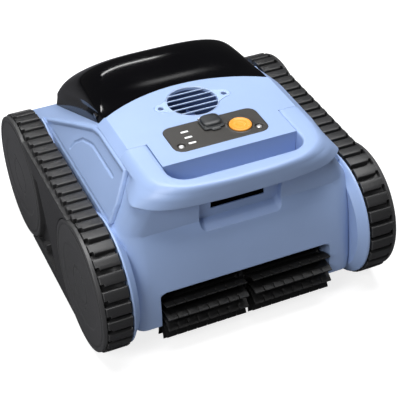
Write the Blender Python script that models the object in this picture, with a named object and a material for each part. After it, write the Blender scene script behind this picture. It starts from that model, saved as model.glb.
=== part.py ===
"""Cordless tracked pool cleaner: the chassis shells, its lid, tracks, brush, pump and controls.

Every size below is in millimetres and is turned into metres where a mesh is made.
The robot stands on z = 0, its brush and carry handle face -Y and +X is its right side as seen
from the front.
"""
import math

import bmesh
import bpy

MM = 0.001
GAP = 0.3              # clearance left between two pieces that touch
WALL = 3.0             # moulded casing thickness

# Tracks and wheels
TRACK_INNER_X = 163.2
TRACK_OUTER_X = 194.5
SIDE_FACE_X = 200.0
WHEEL_Y = 121.6
WHEEL_Z = 86.9
BELT_INNER_R = 75.0
BELT_ROOT_R = 79.9
BELT_TIP_R = 86.9
GROUSERS = 53
GROUSER_FLANK = 0.6
GROUSER_SHARE = 0.76   # part of one pitch that a grouser fills
CAP_R = 85.0
HUB_DISC_R = 84.5
HUB_FLARE = ((149.5, 73.5), (153.5, 77.5), (157.0, 82.6), (158.6, 84.3), (160.9, HUB_DISC_R))
AXLE_R = 5.0

# Casing
DECK_Z = 239.0
CREASE_X = 113.0
RIDGE_X = 125.0
RIDGE_Z = 229.0
SHELF_Z = 226.9        # underside of the narrow shelf that the fender's top edge butts against
SKIRT_X = 158.0
SKIRT_Z = 170.0
FENDER_THICK = 4.5
FENDER_FOOT_Z = 172.5
SPLIT_Z = 40.0
PAN_Z = 30.0           # underside of the floor pan
NOZZLE_Z = 14.0        # lowest edge of the suction mouth
REAR_Y = 202.0
DECK_FRONT_Y = -129.0
NOSE_TOP_Y = -158.0
HANDLE_FLOOR_Z = 211.0
HANDLE_SEAM_X = 88.5
HANDLE_SEAM_Y = -80.0
WELL_FRONT_Y = -154.5
WELL_FLOOR_Z = 197.0
RECESS_BACK_Y = -149.0
SLOT_X = 36.0
SLOT_Z = (174.0, 184.5)
SLOT_WALL = 1.6        # casing thickness round the finger slot

# Lid
LID_X = 118.5
LID_REAR_Y = 203.0
LID_WALL = 3.0
LID_ARC_R = 208.2
LID_ARC_Y = -180.2
SEAT_Z0 = 227.6
SEAT_SLOPE = 0.455
HINGE_Y = 197.5
HINGE_Z = 129.5
KNUCKLE_X = (60.0, 80.0)

# Brush
BRUSH_Y = -152.0
BRUSH_Z = 50.0
BRUSH_TIP_R = 46.5
BRUSH_BASE_R = 16.0
BRUSH_CORE_R = 12.0
BRUSH_END_X = 114.5
BRUSH_FINS = 16
CHAMBER_R = 49.8
CHAMBER_X = 117.0
CHAMBER_ARC = 127.0      # how far the tunnel wraps round the brush, in degrees from the rear
CORNER_R = 7.0           # fillet in the upper corners of the brush opening
LIP_WALL_Y = (-181.0, -179.0)
PULLEY_X = (126.0, 134.0)
AXLE_PULLEY_R = 16.0
BRUSH_PULLEY_R = 12.0
DRIVE_BELT_THICK = 1.6

# Pump and outlet
PUMP_Y = -16.0
GRILLE_R = 31.0
GRILLE_RIM_R = 34.0
GRILLE_EAR_X = 43.5
GRILLE_EAR_R = 8.5
GRILLE_SLATS = 5
SLAT_WIDTH = 2.4

# Control panel
PANEL_X = 63.0
PANEL_Y = (-112.5, -58.6)
PANEL_TOP_Z = 239.5
PANEL_THICK = 5.0
BUTTON_X = 32.0
BUTTON_Y = -88.6
BUTTON_R = 14.4
LIGHT_X = -37.2
LIGHT_YS = (-75.0, -87.2, -99.5)
LIGHT_SIZE = (10.5, 3.5)
SCREW_X = 52.0
SCREW_Y = -100.2
SOCKET_Y = -72.5
SOCKET_R = 9.0
CAP_HINGE_Y = -60.5
CAP_HINGE_Z = 242.2

# Filter basket
BASKET_X = 94.0
BASKET_Y = (50.0, 184.0)
BASKET_FLOOR_Z = 72.0
BASKET_WALL = 2.0
INLET_X = 45.0
INLET_Y = (60.0, 90.0)
FLAP_HINGE_Y = 93.0
FLAP_HINGE_Z = 76.9

BLUE = (0.42, 0.55, 0.85)
PALE_BLUE = (0.52, 0.66, 0.92)
NAVY = (0.03, 0.05, 0.11)
SMOKE = (0.010, 0.010, 0.010)
RUBBER = (0.022, 0.022, 0.022)
DARK_GREY = (0.075, 0.075, 0.075)
PANEL_GREY = (0.10, 0.09, 0.08)
ORANGE = (1.0, 0.38, 0.02)
WHITE = (0.9, 0.9, 0.88)
STEEL = (0.62, 0.62, 0.6)
COPPER_BROWN = (0.30, 0.16, 0.08)
BOARD_GREEN = (0.03, 0.20, 0.08)
BATTERY_BLUE = (0.05, 0.12, 0.30)
CLEAR_GREY = (0.35, 0.38, 0.40)


# ---------------------------------------------------------------- helpers

def clear_scene():
    for item in list(bpy.data.objects):
        bpy.data.objects.remove(item, do_unlink=True)


def add_object(name, rings, origin=(0.0, 0.0, 0.0), parent=None, loop=False):
    """One solid through a row of rings with equal point counts, capped, or closed into a loop."""
    mesh = bpy.data.meshes.new(name)
    shape = bmesh.new()
    rows = []
    for ring in rings:
        rows.append([shape.verts.new([(c - o) * MM for c, o in zip(p, origin)]) for p in ring])
    count = len(rows[0])
    pairs = list(zip(rows, rows[1:]))
    if loop:
        pairs.append((rows[-1], rows[0]))
    for near, far in pairs:
        for i in range(count):
            j = (i + 1) % count
            shape.faces.new((near[i], near[j], far[j], far[i]))
    if not loop:
        shape.faces.new(rows[0])
        shape.faces.new(rows[-1])
    bmesh.ops.recalc_face_normals(shape, faces=shape.faces)
    shape.to_mesh(mesh)
    shape.free()
    item = bpy.data.objects.new(name, mesh)
    item.location = [c * MM for c in origin]
    bpy.context.scene.collection.objects.link(item)
    if parent is not None:
        item.parent = parent
        item.location = [c * MM - p for c, p in zip(origin, parent.location)]
    return item


def add_axis(name, point):
    """An empty that stands on a joint's axis and carries the pieces that move about it."""
    axis = bpy.data.objects.new(name, None)
    axis.location = [c * MM for c in point]
    axis.empty_display_size = 0.02
    bpy.context.scene.collection.objects.link(axis)
    return axis


def finish(item, colour, roughness=0.5, metallic=0.0, smooth=False):
    """Gives a piece its own material and, where it is round, smooth shading."""
    look = bpy.data.materials.new(item.name + "_finish")
    look.use_nodes = True
    surface = look.node_tree.nodes["Principled BSDF"]
    surface.inputs["Base Color"].default_value = (*colour, 1.0)
    surface.inputs["Roughness"].default_value = roughness
    surface.inputs["Metallic"].default_value = metallic
    look.diffuse_color = (*colour, 1.0)
    item.data.materials.append(look)
    if smooth:
        item.data.shade_smooth()
        item.data.set_sharp_from_angle(angle=math.radians(35))
    return item


def combine(item, other, operation):
    """Boolean of a piece with a guide solid, which itself is left out of the model."""
    step = item.modifiers.new(operation.lower() + "_" + other.name, 'BOOLEAN')
    step.operation = operation
    step.solver = 'EXACT'
    step.object = other
    other.hide_render = True
    other.display_type = 'WIRE'
    return item


def cut(item, *tools):
    for tool in tools:
        combine(item, tool, 'DIFFERENCE')
    return item


def weld(item, *tools):
    for tool in tools:
        combine(item, tool, 'UNION')
    return item


def prism_z(name, outline, low, high, **place):
    """A plan outline raised between two heights; a height may be a function of y."""
    def at(height, y):
        return height(y) if callable(height) else height
    rings = [[(x, y, at(low, y)) for x, y in outline], [(x, y, at(high, y)) for x, y in outline]]
    return add_object(name, rings, **place)


def prism_x(name, outline, low, high, **place):
    """A side outline in (y, z) stretched along X."""
    return add_object(name, [[(low, y, z) for y, z in outline], [(high, y, z) for y, z in outline]], **place)


def prism_y(name, outline, low, high, **place):
    """A front outline in (x, z) stretched along Y."""
    return add_object(name, [[(x, low, z) for x, z in outline], [(x, high, z) for x, z in outline]], **place)


def box(name, xs, ys, zs, **place):
    outline = [(xs[0], ys[0]), (xs[1], ys[0]), (xs[1], ys[1]), (xs[0], ys[1])]
    return prism_z(name, outline, zs[0], zs[1], **place)


def circle(radius, centre=(0.0, 0.0), steps=32, start=0.0):
    points = []
    for i in range(steps):
        angle = start + 2 * math.pi * i / steps
        points.append((centre[0] + radius * math.cos(angle), centre[1] + radius * math.sin(angle)))
    return points


def turned_x(name, profile, centre, steps=32, **place):
    """A solid turned about an X axis from (x, radius) pairs in order along the axis."""
    rings = [[(x, y, z) for y, z in circle(radius, centre, steps)] for x, radius in profile]
    return add_object(name, rings, **place)


def turned_z(name, profile, centre, steps=32, **place):
    """A solid turned about a Z axis from (z, radius) pairs in order along the axis."""
    rings = [[(x, y, z) for x, y in circle(radius, centre, steps)] for z, radius in profile]
    return add_object(name, rings, **place)


def bored_x(name, profile, centre, steps=32, **place):
    """A ring turned about an X axis from a closed (x, radius) outline."""
    rings = []
    for i in range(steps):
        angle = 2 * math.pi * i / steps
        ring = []
        for x, radius in profile:
            ring.append((x, centre[0] + radius * math.cos(angle), centre[1] + radius * math.sin(angle)))
        rings.append(ring)
    return add_object(name, rings, loop=True, **place)


def corner_arc(cx, cy, radius, first, last, steps):
    points = []
    for i in range(steps + 1):
        angle = math.radians(first + (last - first) * i / steps)
        points.append((cx + radius * math.cos(angle), cy + radius * math.sin(angle)))
    return points


def plan_outline(half, front, rear, front_r, rear_r, steps=4):
    """A plan rectangle about x = 0 whose front and rear corners are rounded."""
    points = corner_arc(half - front_r, front + front_r, front_r, -90, 0, steps)
    points += corner_arc(half - rear_r, rear - rear_r, rear_r, 0, 90, steps)
    points += corner_arc(rear_r - half, rear - rear_r, rear_r, 90, 180, steps)
    points += corner_arc(front_r - half, front + front_r, front_r, 180, 270, steps)
    return points


def mirrored(points):
    """Right-hand points from front to back, followed by their left-hand copies in return order."""
    return points + [(-x, y) for x, y in reversed(points)]


def seat(y):
    """Height of the sloping ledge that the lid closes on."""
    return SEAT_Z0 - SEAT_SLOPE * y


def seat_shifted(shift):
    return lambda y: seat(y) + shift


def fender_x(z):
    """Half-width of the outer face of the side fender at height z."""
    return RIDGE_X + (RIDGE_Z - z) * (SKIRT_X - RIDGE_X) / (RIDGE_Z - SKIRT_Z)


def side_name(side):
    return "right" if side > 0 else "left"


# ---------------------------------------------------------------- casing

FENDER_NORMAL = math.hypot(RIDGE_Z - SKIRT_Z, SKIRT_X - RIDGE_X)
FENDER_NX = (RIDGE_Z - SKIRT_Z) / FENDER_NORMAL
FENDER_NZ = (SKIRT_X - RIDGE_X) / FENDER_NORMAL
BASE_INSET = (FENDER_THICK + GAP) / FENDER_NX


def casing_levels():
    """Height, half-width, front y and front corner radius of the casing's plan at each level."""
    def base(z):
        return fender_x(z) - BASE_INSET
    top_of_nose = HANDLE_FLOOR_Z - GAP
    return [
        (SPLIT_Z + GAP, 150.0, -184.0, 14.0),
        (60.0, 153.0, -184.0, 18.0),
        (90.0, 155.0, -181.0, 24.0),
        (125.0, 157.0, -176.0, 30.0),
        (150.0, 157.5, -168.0, 32.0),
        (162.0, 157.5, -161.0, 30.0),
        (167.0, 156.0, NOSE_TOP_Y, 28.0),
        (170.0, base(170.0), NOSE_TOP_Y, 26.0),
        (top_of_nose, base(top_of_nose), NOSE_TOP_Y, 20.0),
        (top_of_nose + 0.01, base(top_of_nose), DECK_FRONT_Y, 1.0),
        (SHELF_Z, base(SHELF_Z), DECK_FRONT_Y, 1.0),
        (RIDGE_Z + GAP, RIDGE_X - 0.4, DECK_FRONT_Y, 1.0),
        (DECK_Z, CREASE_X, DECK_FRONT_Y, 1.0),
    ]


def casing_rings(inset):
    """Plan outlines of the casing from the split line to the deck, drawn in by the wall."""
    rings = []
    for z, half, front, radius in casing_levels():
        if inset and z > RIDGE_Z:
            half = min(half, CREASE_X + 1.0)
        side_inset = inset * 1.15
        corner = max(radius - inset, 0.6)
        outline = plan_outline(half - side_inset, front + inset, REAR_Y - inset, corner, 12.0)
        rings.append([(x, y, z) for x, y in outline])
    if inset:
        rings[0] = [(x, y, SPLIT_Z - 10) for x, y, _ in rings[0]]
        rings[-1] = [(x, y, DECK_Z - inset) for x, y, _ in rings[-1]]
    return rings


def lid_plan(offset, wing=0.0):
    """Plan of the lid bay: a round front edge, straight sides and a rounded rear."""
    half = LID_X + offset
    radius = LID_ARC_R + offset
    steps = 8
    points = []
    for i in range(steps + 1):
        x = CREASE_X * i / steps
        points.append((x, LID_ARC_Y - 2 * offset + math.sqrt(radius * radius - x * x)))
    if wing:
        points.append((CREASE_X + 1.0 + offset, -3.0 - offset))
        points.append((wing, -3.0 - offset))
        points.append((wing, LID_REAR_Y + 20))
    else:
        points.append((half, 9.0 - offset))
        points += corner_arc(half - 10, LID_REAR_Y + offset - 10, 10.0, 0, 90, 3)
    return points + [(-x, y) for x, y in reversed(points[1:])]


def brush_chamber(name, clearance, half):
    """Tunnel over the brush, open to the front and to the floor."""
    points = []
    steps = 14
    radius = CHAMBER_R + clearance
    top = math.radians(CHAMBER_ARC)
    for i in range(steps + 1):
        angle = top * i / steps
        points.append((BRUSH_Y + radius * math.cos(angle), BRUSH_Z + radius * math.sin(angle)))
    lip_z = points[-1][1]
    points += [(-230.0, lip_z), (-230.0, -20.0), (BRUSH_Y + radius, -20.0)]
    return prism_x(name, points, -half, half)


def chamber_corner(side):
    """Fillet in the upper corner of the brush opening, inside the thickness of the front wall."""
    lip_z = BRUSH_Z + CHAMBER_R * math.sin(math.radians(CHAMBER_ARC))
    x0 = CHAMBER_X - CORNER_R
    z0 = lip_z - CORNER_R
    points = corner_arc(x0, z0, CORNER_R, 0, 90, 5)
    points += [(x0, lip_z + 2), (CHAMBER_X + 2, lip_z + 2), (CHAMBER_X + 2, z0)]
    return prism_y("chamber_corner_" + side_name(side), [(side * x, z) for x, z in points],
                   LIP_WALL_Y[0], LIP_WALL_Y[1])


def well_outline(grow):
    """Plan of the hand opening between the deck and the handle bar."""
    half = HANDLE_SEAM_X + grow
    front = -162.3 - grow
    return mirrored([(67.0, front), (77.0, front + 3), (85.0, front + 10.5), (half, front + 21),
                     (half, DECK_FRONT_Y)])


def nose_recess(name, grow, back):
    """Shallow pocket in the front wall below the handle, with a rising floor."""
    half = 55.0 + grow
    rings = []
    for y, floor in ((back, 163.0 - grow), (-163.0, 155.0 - grow), (-190.0, 146.0 - grow)):
        ring = []
        for x, z in corner_arc(half - 3, 193.0 + grow - 3, 3.0, 90, 0, 2):
            ring.append((x, y, z))
        for x, z in corner_arc(half - 8, floor + 8, 8.0, 0, -90, 3):
            ring.append((x, y, z))
        ring += [(-x, y, z) for x, y, z in reversed(ring)]
        rings.append(ring)
    return add_object(name, rings)


def build_upper_shell():
    """Main casing, whose cheeks flare out into a disc beside each wheel."""
    shell = add_object("upper_shell", casing_rings(0.0))
    for side in (-1, 1):
        for end, y in (("front", -WHEEL_Y), ("rear", WHEEL_Y)):
            profile = [(side * x, radius) for x, radius in HUB_FLARE]
            weld(shell, turned_x(f"hub_flare_{end}_{side_name(side)}", profile, (y, WHEEL_Z), 48))

    cavity = add_object("casing_cavity", casing_rings(WALL))
    cut(cavity,
        box("keep_well", (-HANDLE_SEAM_X - WALL, HANDLE_SEAM_X + WALL), (-220, DECK_FRONT_Y + WALL),
            (WELL_FLOOR_Z - WALL, 300)),
        box("keep_handle_seat", (-200, 200), (-220, HANDLE_SEAM_Y + 3.3), (HANDLE_FLOOR_Z - 3.3, 232.0)),
        prism_z("keep_recess", mirrored([(60.0, -220.0), (60.0, RECESS_BACK_Y + SLOT_WALL)]),
                150.0, 200.0),
        brush_chamber("keep_chamber", WALL, CHAMBER_X + WALL),
        prism_z("keep_seat", lid_plan(3.4, wing=190.0), seat_shifted(-3.4), 300.0))
    deck_core = box("deck_core", (-HANDLE_SEAM_X + WALL, HANDLE_SEAM_X - WALL),
                    (DECK_FRONT_Y + WALL, HANDLE_SEAM_Y + 10), (200.0, DECK_Z - WALL))
    weld(cavity, deck_core)
    cut(shell, cavity)

    for side in (-1, 1):
        xs = sorted((side * (HANDLE_SEAM_X - 0.2), side * 220))
        cut(shell, box(f"handle_arm_room_{side_name(side)}", xs, (-240, HANDLE_SEAM_Y + GAP),
                       (HANDLE_FLOOR_Z - GAP, 300)))
    cut(shell,
        box("hand_well", (-HANDLE_SEAM_X, HANDLE_SEAM_X), (WELL_FRONT_Y, DECK_FRONT_Y),
            (WELL_FLOOR_Z, 300)),
        nose_recess("nose_recess", 0.0, RECESS_BACK_Y),
        box("finger_slot", (-SLOT_X, SLOT_X), (RECESS_BACK_Y - 3, RECESS_BACK_Y + 9), SLOT_Z),
        brush_chamber("chamber", 0.0, CHAMBER_X),
        prism_z("lid_bay", lid_plan(0.5), seat_shifted(-GAP), 320.0),
        prism_z("shoulder_slope", lid_plan(0.5, wing=190.0), seat_shifted(-GAP), 320.0),
        box("basket_mouth", (-BASKET_X - 3, BASKET_X + 3), (BASKET_Y[0] - 3, BASKET_Y[1] + 3), (60, 320)),
        prism_z("panel_hole", plan_outline(PANEL_X + GAP, PANEL_Y[0] - GAP, PANEL_Y[1] + GAP, 12, 12, 3),
                225.0, 260.0),
        prism_z("grille_hole", grille_outline(GAP), 225.0, 260.0))

    for side in (-1, 1):
        name = side_name(side)
        weld(shell, chamber_corner(side))
        xs = sorted((side * (KNUCKLE_X[0] - 10), side * (KNUCKLE_X[1] + 10)))
        weld(shell, box(f"hinge_boss_{name}", xs, (190.0, REAR_Y - 1), (124.5, 134.0)))
        room = sorted((side * (KNUCKLE_X[0] - 0.6), side * (KNUCKLE_X[1] + 0.6)))
        cut(shell, box(f"knuckle_room_{name}", room, (191.5, 215.0), (115.0, 160.0)))
        pin_bore = sorted((side * (KNUCKLE_X[0] - 7), side * (KNUCKLE_X[1] + 7)))
        cut(shell, turned_x(f"hinge_bore_{name}", [(pin_bore[0], 1.8), (pin_bore[1], 1.8)],
                            (HINGE_Y, HINGE_Z), 12))
        for y in (-WHEEL_Y, WHEEL_Y):
            end = "front" if y < 0 else "rear"
            cut(shell, turned_x(f"axle_bore_{end}_{name}",
                                [(side * 140.0, AXLE_R + 0.6), (side * 170.0, AXLE_R + 0.6)],
                                (y, WHEEL_Z), 16))
        cut(shell, turned_x(f"brush_bore_{name}", [(side * 112.0, 5.8), (side * 126.0, 5.8)],
                            (BRUSH_Y, BRUSH_Z), 16))
    return finish(shell, BLUE, 0.35, smooth=True)


def build_lower_shell():
    """Floor pan: a U in plan, whose two arms close the cheeks beside the brush."""
    def pan(half, inner, front, back, rear):
        right = [(inner, back), (inner, front), (half - 10, front), (half, front + 10),
                 (half, rear - 12), (half - 12, rear)]
        return mirrored(right)
    outer = pan(149.0, CHAMBER_X + 4.0, -172.0, -98.0, REAR_Y - 1)
    inner = pan(146.0, CHAMBER_X + 7.0, -169.0, -95.0, REAR_Y - 4)
    lower = prism_z("lower_shell", outer, PAN_Z, SPLIT_Z - GAP)
    cut(lower, prism_z("pan_room", inner, PAN_Z + WALL, 60.0),
        box("inlet_mouth", (-INLET_X, INLET_X), INLET_Y, (10.0, 60.0)))
    finish(lower, DARK_GREY, 0.5)

    nozzle = prism_z("inlet_nozzle", inlet_plan(12.0), NOZZLE_Z, PAN_Z - GAP)
    cut(nozzle, prism_z("nozzle_room", inlet_plan(0.0), 0.0, 60.0))
    finish(nozzle, RUBBER, 0.6)


def inlet_plan(grow):
    """Plan of the suction mouth, drawn out by an amount."""
    return [(-INLET_X - grow, INLET_Y[0] - grow), (INLET_X + grow, INLET_Y[0] - grow),
            (INLET_X + grow, INLET_Y[1] + grow), (-INLET_X - grow, INLET_Y[1] + grow)]


def build_carry_handle():
    """U-shaped carry handle: a bar across the front with an arm down each side of the deck."""
    top = [(0.0, -183.5), (30.0, -183.0), (63.0, -179.0), (80.0, -174.0), (93.0, -166.0), (103.0, -155.0),
           (109.0, -141.0), (112.0, -125.0), (CREASE_X, -108.0), (CREASE_X, HANDLE_SEAM_Y)]
    middle = [(0.0, -184.5), (32.0, -184.0), (68.0, -180.8), (88.0, -176.0), (103.0, -168.5),
              (115.0, -158.0), (122.0, -143.0), (124.0, -125.0), (RIDGE_X - 0.4, -110.0),
              (RIDGE_X - 0.4, HANDLE_SEAM_Y)]
    shelf_x = fender_x(SHELF_Z) - BASE_INSET
    shelf = middle[:-2] + [(shelf_x, -110.0), (shelf_x, HANDLE_SEAM_Y)]
    foot_x = fender_x(HANDLE_FLOOR_Z) - BASE_INSET
    foot = [(0.0, -182.5), (35.0, -182.3), (74.0, -179.3), (98.0, -175.5), (117.0, -168.5),
            (131.0, -158.0), (138.0, -147.5), (134.0, -125.0), (foot_x, -110.0), (foot_x, HANDLE_SEAM_Y)]

    def ring(points, z):
        whole = points + [(-x, y) for x, y in reversed(points[1:])]
        return [(x, y, z) for x, y in whole]
    handle = add_object("carry_handle", [ring(foot, HANDLE_FLOOR_Z), ring(shelf, SHELF_Z),
                                         ring(middle, RIDGE_Z + GAP), ring(top, DECK_Z)])
    opening = well_outline(0.2)
    opening[4] = (opening[4][0], -60.0)
    opening[5] = (opening[5][0], -60.0)
    cut(handle, prism_z("handle_opening", opening, 190.0, 260.0))
    return finish(handle, BLUE, 0.35, smooth=True)


def build_fender(side):
    """Sloping side panel that stands a little proud between the deck and the track."""
    edge = [(-103.0, RIDGE_Z), (-16.0, RIDGE_Z), (2.0, 225.5), (53.0, 204.0), (112.0, 178.0),
            (116.0, FENDER_FOOT_Z), (-125.0, FENDER_FOOT_Z), (-119.5, 194.0)]
    rings = []
    for depth in (0.0, FENDER_THICK):
        rings.append([(side * (fender_x(z) - depth * FENDER_NX), y, z - depth * FENDER_NZ)
                      for y, z in edge])
    fender = add_object("side_fender_" + side_name(side), rings)
    return finish(fender, BLUE, 0.35)


# ---------------------------------------------------------------- lid

def lid_crest(y, inset):
    """Height of the lid along its centre line."""
    points = [(-12.0, 234.0), (0.0, 235.5), (28.0, 239.8), (50.0, 245.5), (70.0, 249.5), (90.0, 251.0),
              (106.0, 249.2), (122.0, 240.5), (140.0, 228.0), (160.0, 212.0), (178.0, 194.0),
              (192.0, 176.0), (LID_REAR_Y, 158.0)]
    for (y0, z0), (y1, z1) in zip(points, points[1:]):
        if y <= y1:
            return z0 + (z1 - z0) * (y - y0) / (y1 - y0) - inset
    return points[-1][1] - inset


def lid_section(y, inset):
    """Cross-section of the hood: a flat top rolled over into near-vertical sides."""
    half = LID_X - inset
    foot = seat(y) - 12.0
    crest = lid_crest(y, inset)
    ring = []
    for share in (1.0, 0.985, 0.94, 0.87, 0.75, 0.55, 0.28, 0.0):
        rise = (1.0 - share ** 4) ** 0.25
        ring.append((share * half, y, foot + 11.0 + (crest - foot - 11.0) * rise))
    ring += [(-x, y, z) for x, y, z in reversed(ring[:-1])]
    return [(half, y, foot)] + ring + [(-half, y, foot)]


def build_lid(axis):
    stations = (-12.0, 8.0, 28.0, 50.0, 70.0, 90.0, 106.0, 122.0, 140.0, 160.0, 178.0, 192.0, LID_REAR_Y)
    origin = (0.0, HINGE_Y, HINGE_Z)
    place = {"origin": origin, "parent": axis}
    lid = add_object("lid_cover", [lid_section(y, 0.0) for y in stations], **place)
    bay = prism_z("lid_outline", lid_plan(0.0), seat_shifted(0.2), 330.0)
    combine(lid, bay, 'INTERSECT')
    inner_stations = stations[:-1] + (LID_REAR_Y - LID_WALL,)
    hollow = add_object("lid_hollow", [lid_section(y, LID_WALL) for y in inner_stations])
    inner_bay = prism_z("lid_inner_outline", lid_plan(-LID_WALL), seat_shifted(-20.0), 330.0)
    combine(hollow, inner_bay, 'INTERSECT')
    cut(lid, hollow)
    for side in (-1, 1):
        name = side_name(side)
        xs = sorted((side * KNUCKLE_X[0], side * KNUCKLE_X[1]))
        web = prism_x(f"knuckle_web_{name}", [(HINGE_Y - 2.0, HINGE_Z), (HINGE_Y + 4.3, HINGE_Z),
                                              (LID_REAR_Y - 0.2, 138.0), (LID_REAR_Y - 0.2, 148.0),
                                              (LID_REAR_Y - 2.5, 148.0)], xs[0], xs[1])
        knuckle = turned_x(f"knuckle_{name}", [(xs[0], 4.5), (xs[1], 4.5)], (HINGE_Y, HINGE_Z), 16)
        bore = turned_x(f"knuckle_bore_{name}", [(xs[0] - 5, 1.8), (xs[1] + 5, 1.8)],
                        (HINGE_Y, HINGE_Z), 12)
        weld(lid, web, knuckle)
        cut(lid, bore)
        window = sorted((side * 110.0, side * 125.0))
        cut(lid, box(f"catch_window_{name}", window, (17.7, 26.3), (222.7, 228.3)))
        catch_x = sorted((side * 115.8, side * 118.4))
        catch = box(f"lid_catch_{name}", catch_x, (18.0, 26.0), (223.0, 228.0), **place)
        finish(catch, SMOKE, 0.4)
    finish(lid, SMOKE, 0.08, smooth=True)


def build_lid_fixings():
    for side in (-1, 1):
        xs = sorted((side * (KNUCKLE_X[0] - 6), side * (KNUCKLE_X[1] + 6)))
        pin = turned_x("lid_hinge_pin_" + side_name(side), [(xs[0], 1.5), (xs[1], 1.5)],
                       (HINGE_Y, HINGE_Z), 12)
        finish(pin, STEEL, 0.3, 1.0, smooth=True)
    outer = plan_outline(108.0, 36.0, 195.0, 10, 10, 3)
    inner = plan_outline(104.0, 40.0, 191.0, 7, 7, 3)
    rings = [[(x, y, seat(y) + lift) for x, y in outline]
             for outline, lift in ((outer, 0.1), (outer, 3.0), (inner, 3.0), (inner, 0.1))]
    seal = add_object("lid_seal", rings, loop=True)
    finish(seal, RUBBER, 0.8)


# ---------------------------------------------------------------- filter basket

def build_basket():
    def plan(grow):
        return plan_outline(BASKET_X + grow, BASKET_Y[0] - grow, BASKET_Y[1] + grow, 8, 8, 2)
    basket = prism_z("filter_basket", plan(0.0), BASKET_FLOOR_Z, seat_shifted(0.5))
    flange = prism_z("basket_flange", plan(6.0), seat_shifted(0.1), seat_shifted(2.0))
    weld(basket, flange)
    cut(basket, prism_z("basket_room", plan(-BASKET_WALL), BASKET_FLOOR_Z + BASKET_WALL, 320.0),
        box("basket_inlet", (-INLET_X, INLET_X), INLET_Y, (60.0, 90.0)))
    for side in (-1, 1):
        xs = sorted((side * 47.0, side * 50.0))
        weld(basket, box(f"flap_lug_{side_name(side)}", xs, (FLAP_HINGE_Y - 2.6, FLAP_HINGE_Y + 2.6),
                         (73.0, FLAP_HINGE_Z + 2.6)))
    cut(basket, turned_x("flap_lug_bore", [(-52.0, 1.3), (52.0, 1.3)], (FLAP_HINGE_Y, FLAP_HINGE_Z), 12))
    finish(basket, CLEAR_GREY, 0.5)

    duct = prism_z("inlet_duct", inlet_plan(5.0), PAN_Z + WALL + GAP, BASKET_FLOOR_Z - GAP)
    cut(duct, prism_z("duct_room", inlet_plan(2.0), 10.0, 90.0))
    finish(duct, DARK_GREY, 0.5)


def build_inlet_flap():
    point = (0.0, FLAP_HINGE_Y, FLAP_HINGE_Z)
    axis = add_axis("inlet_flap_axis", point)
    flap = box("inlet_flap", (-INLET_X - 1.5, INLET_X + 1.5), (INLET_Y[0] - 2.5, FLAP_HINGE_Y - 1.0),
               (74.4, 76.2), origin=point, parent=axis)
    barrel = turned_x("flap_barrel", [(-46.0, 2.4), (46.0, 2.4)], (FLAP_HINGE_Y, FLAP_HINGE_Z), 12)
    bore = turned_x("flap_bore", [(-60.0, 1.3), (60.0, 1.3)], (FLAP_HINGE_Y, FLAP_HINGE_Z), 12)
    weld(flap, barrel)
    cut(flap, bore)
    finish(flap, RUBBER, 0.7)
    pin = turned_x("inlet_flap_pin", [(-51.0, 1.0), (51.0, 1.0)], (FLAP_HINGE_Y, FLAP_HINGE_Z), 10)
    finish(pin, STEEL, 0.3, 1.0, smooth=True)


# ---------------------------------------------------------------- tracks and wheels

def track_point(distance, radius):
    """Point on the stadium path at a distance along it, at an offset radius from the wheel axes."""
    run = 2 * WHEEL_Y
    bend = math.pi * BELT_ROOT_R
    distance %= 2 * (run + bend)
    if distance < run:
        return (-WHEEL_Y + distance, WHEEL_Z + radius)
    distance -= run
    if distance < bend:
        angle = math.pi / 2 - distance / BELT_ROOT_R
        return (WHEEL_Y + radius * math.cos(angle), WHEEL_Z + radius * math.sin(angle))
    distance -= bend
    if distance < run:
        return (WHEEL_Y - distance, WHEEL_Z - radius)
    distance -= run
    angle = -math.pi / 2 - distance / BELT_ROOT_R
    return (-WHEEL_Y + radius * math.cos(angle), WHEEL_Z + radius * math.sin(angle))


def build_track(side):
    """Toothed rubber belt round a front and a rear wheel."""
    length = 2 * (2 * WHEEL_Y + math.pi * BELT_ROOT_R)
    pitch = length / GROUSERS
    face = pitch * GROUSER_SHARE
    rings = []
    for i in range(GROUSERS):
        start = i * pitch
        stations = ((start, BELT_ROOT_R), (start + GROUSER_FLANK, BELT_TIP_R),
                    (start + face - GROUSER_FLANK, BELT_TIP_R), (start + face, BELT_ROOT_R))
        for distance, radius in stations:
            low = track_point(distance, BELT_INNER_R)
            high = track_point(distance, radius)
            rings.append([(side * TRACK_INNER_X, *low), (side * TRACK_OUTER_X, *low),
                          (side * TRACK_OUTER_X, *high), (side * TRACK_INNER_X, *high)])
    track = add_object("track_" + side_name(side), rings, loop=True)
    return finish(track, RUBBER, 0.75)


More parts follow.
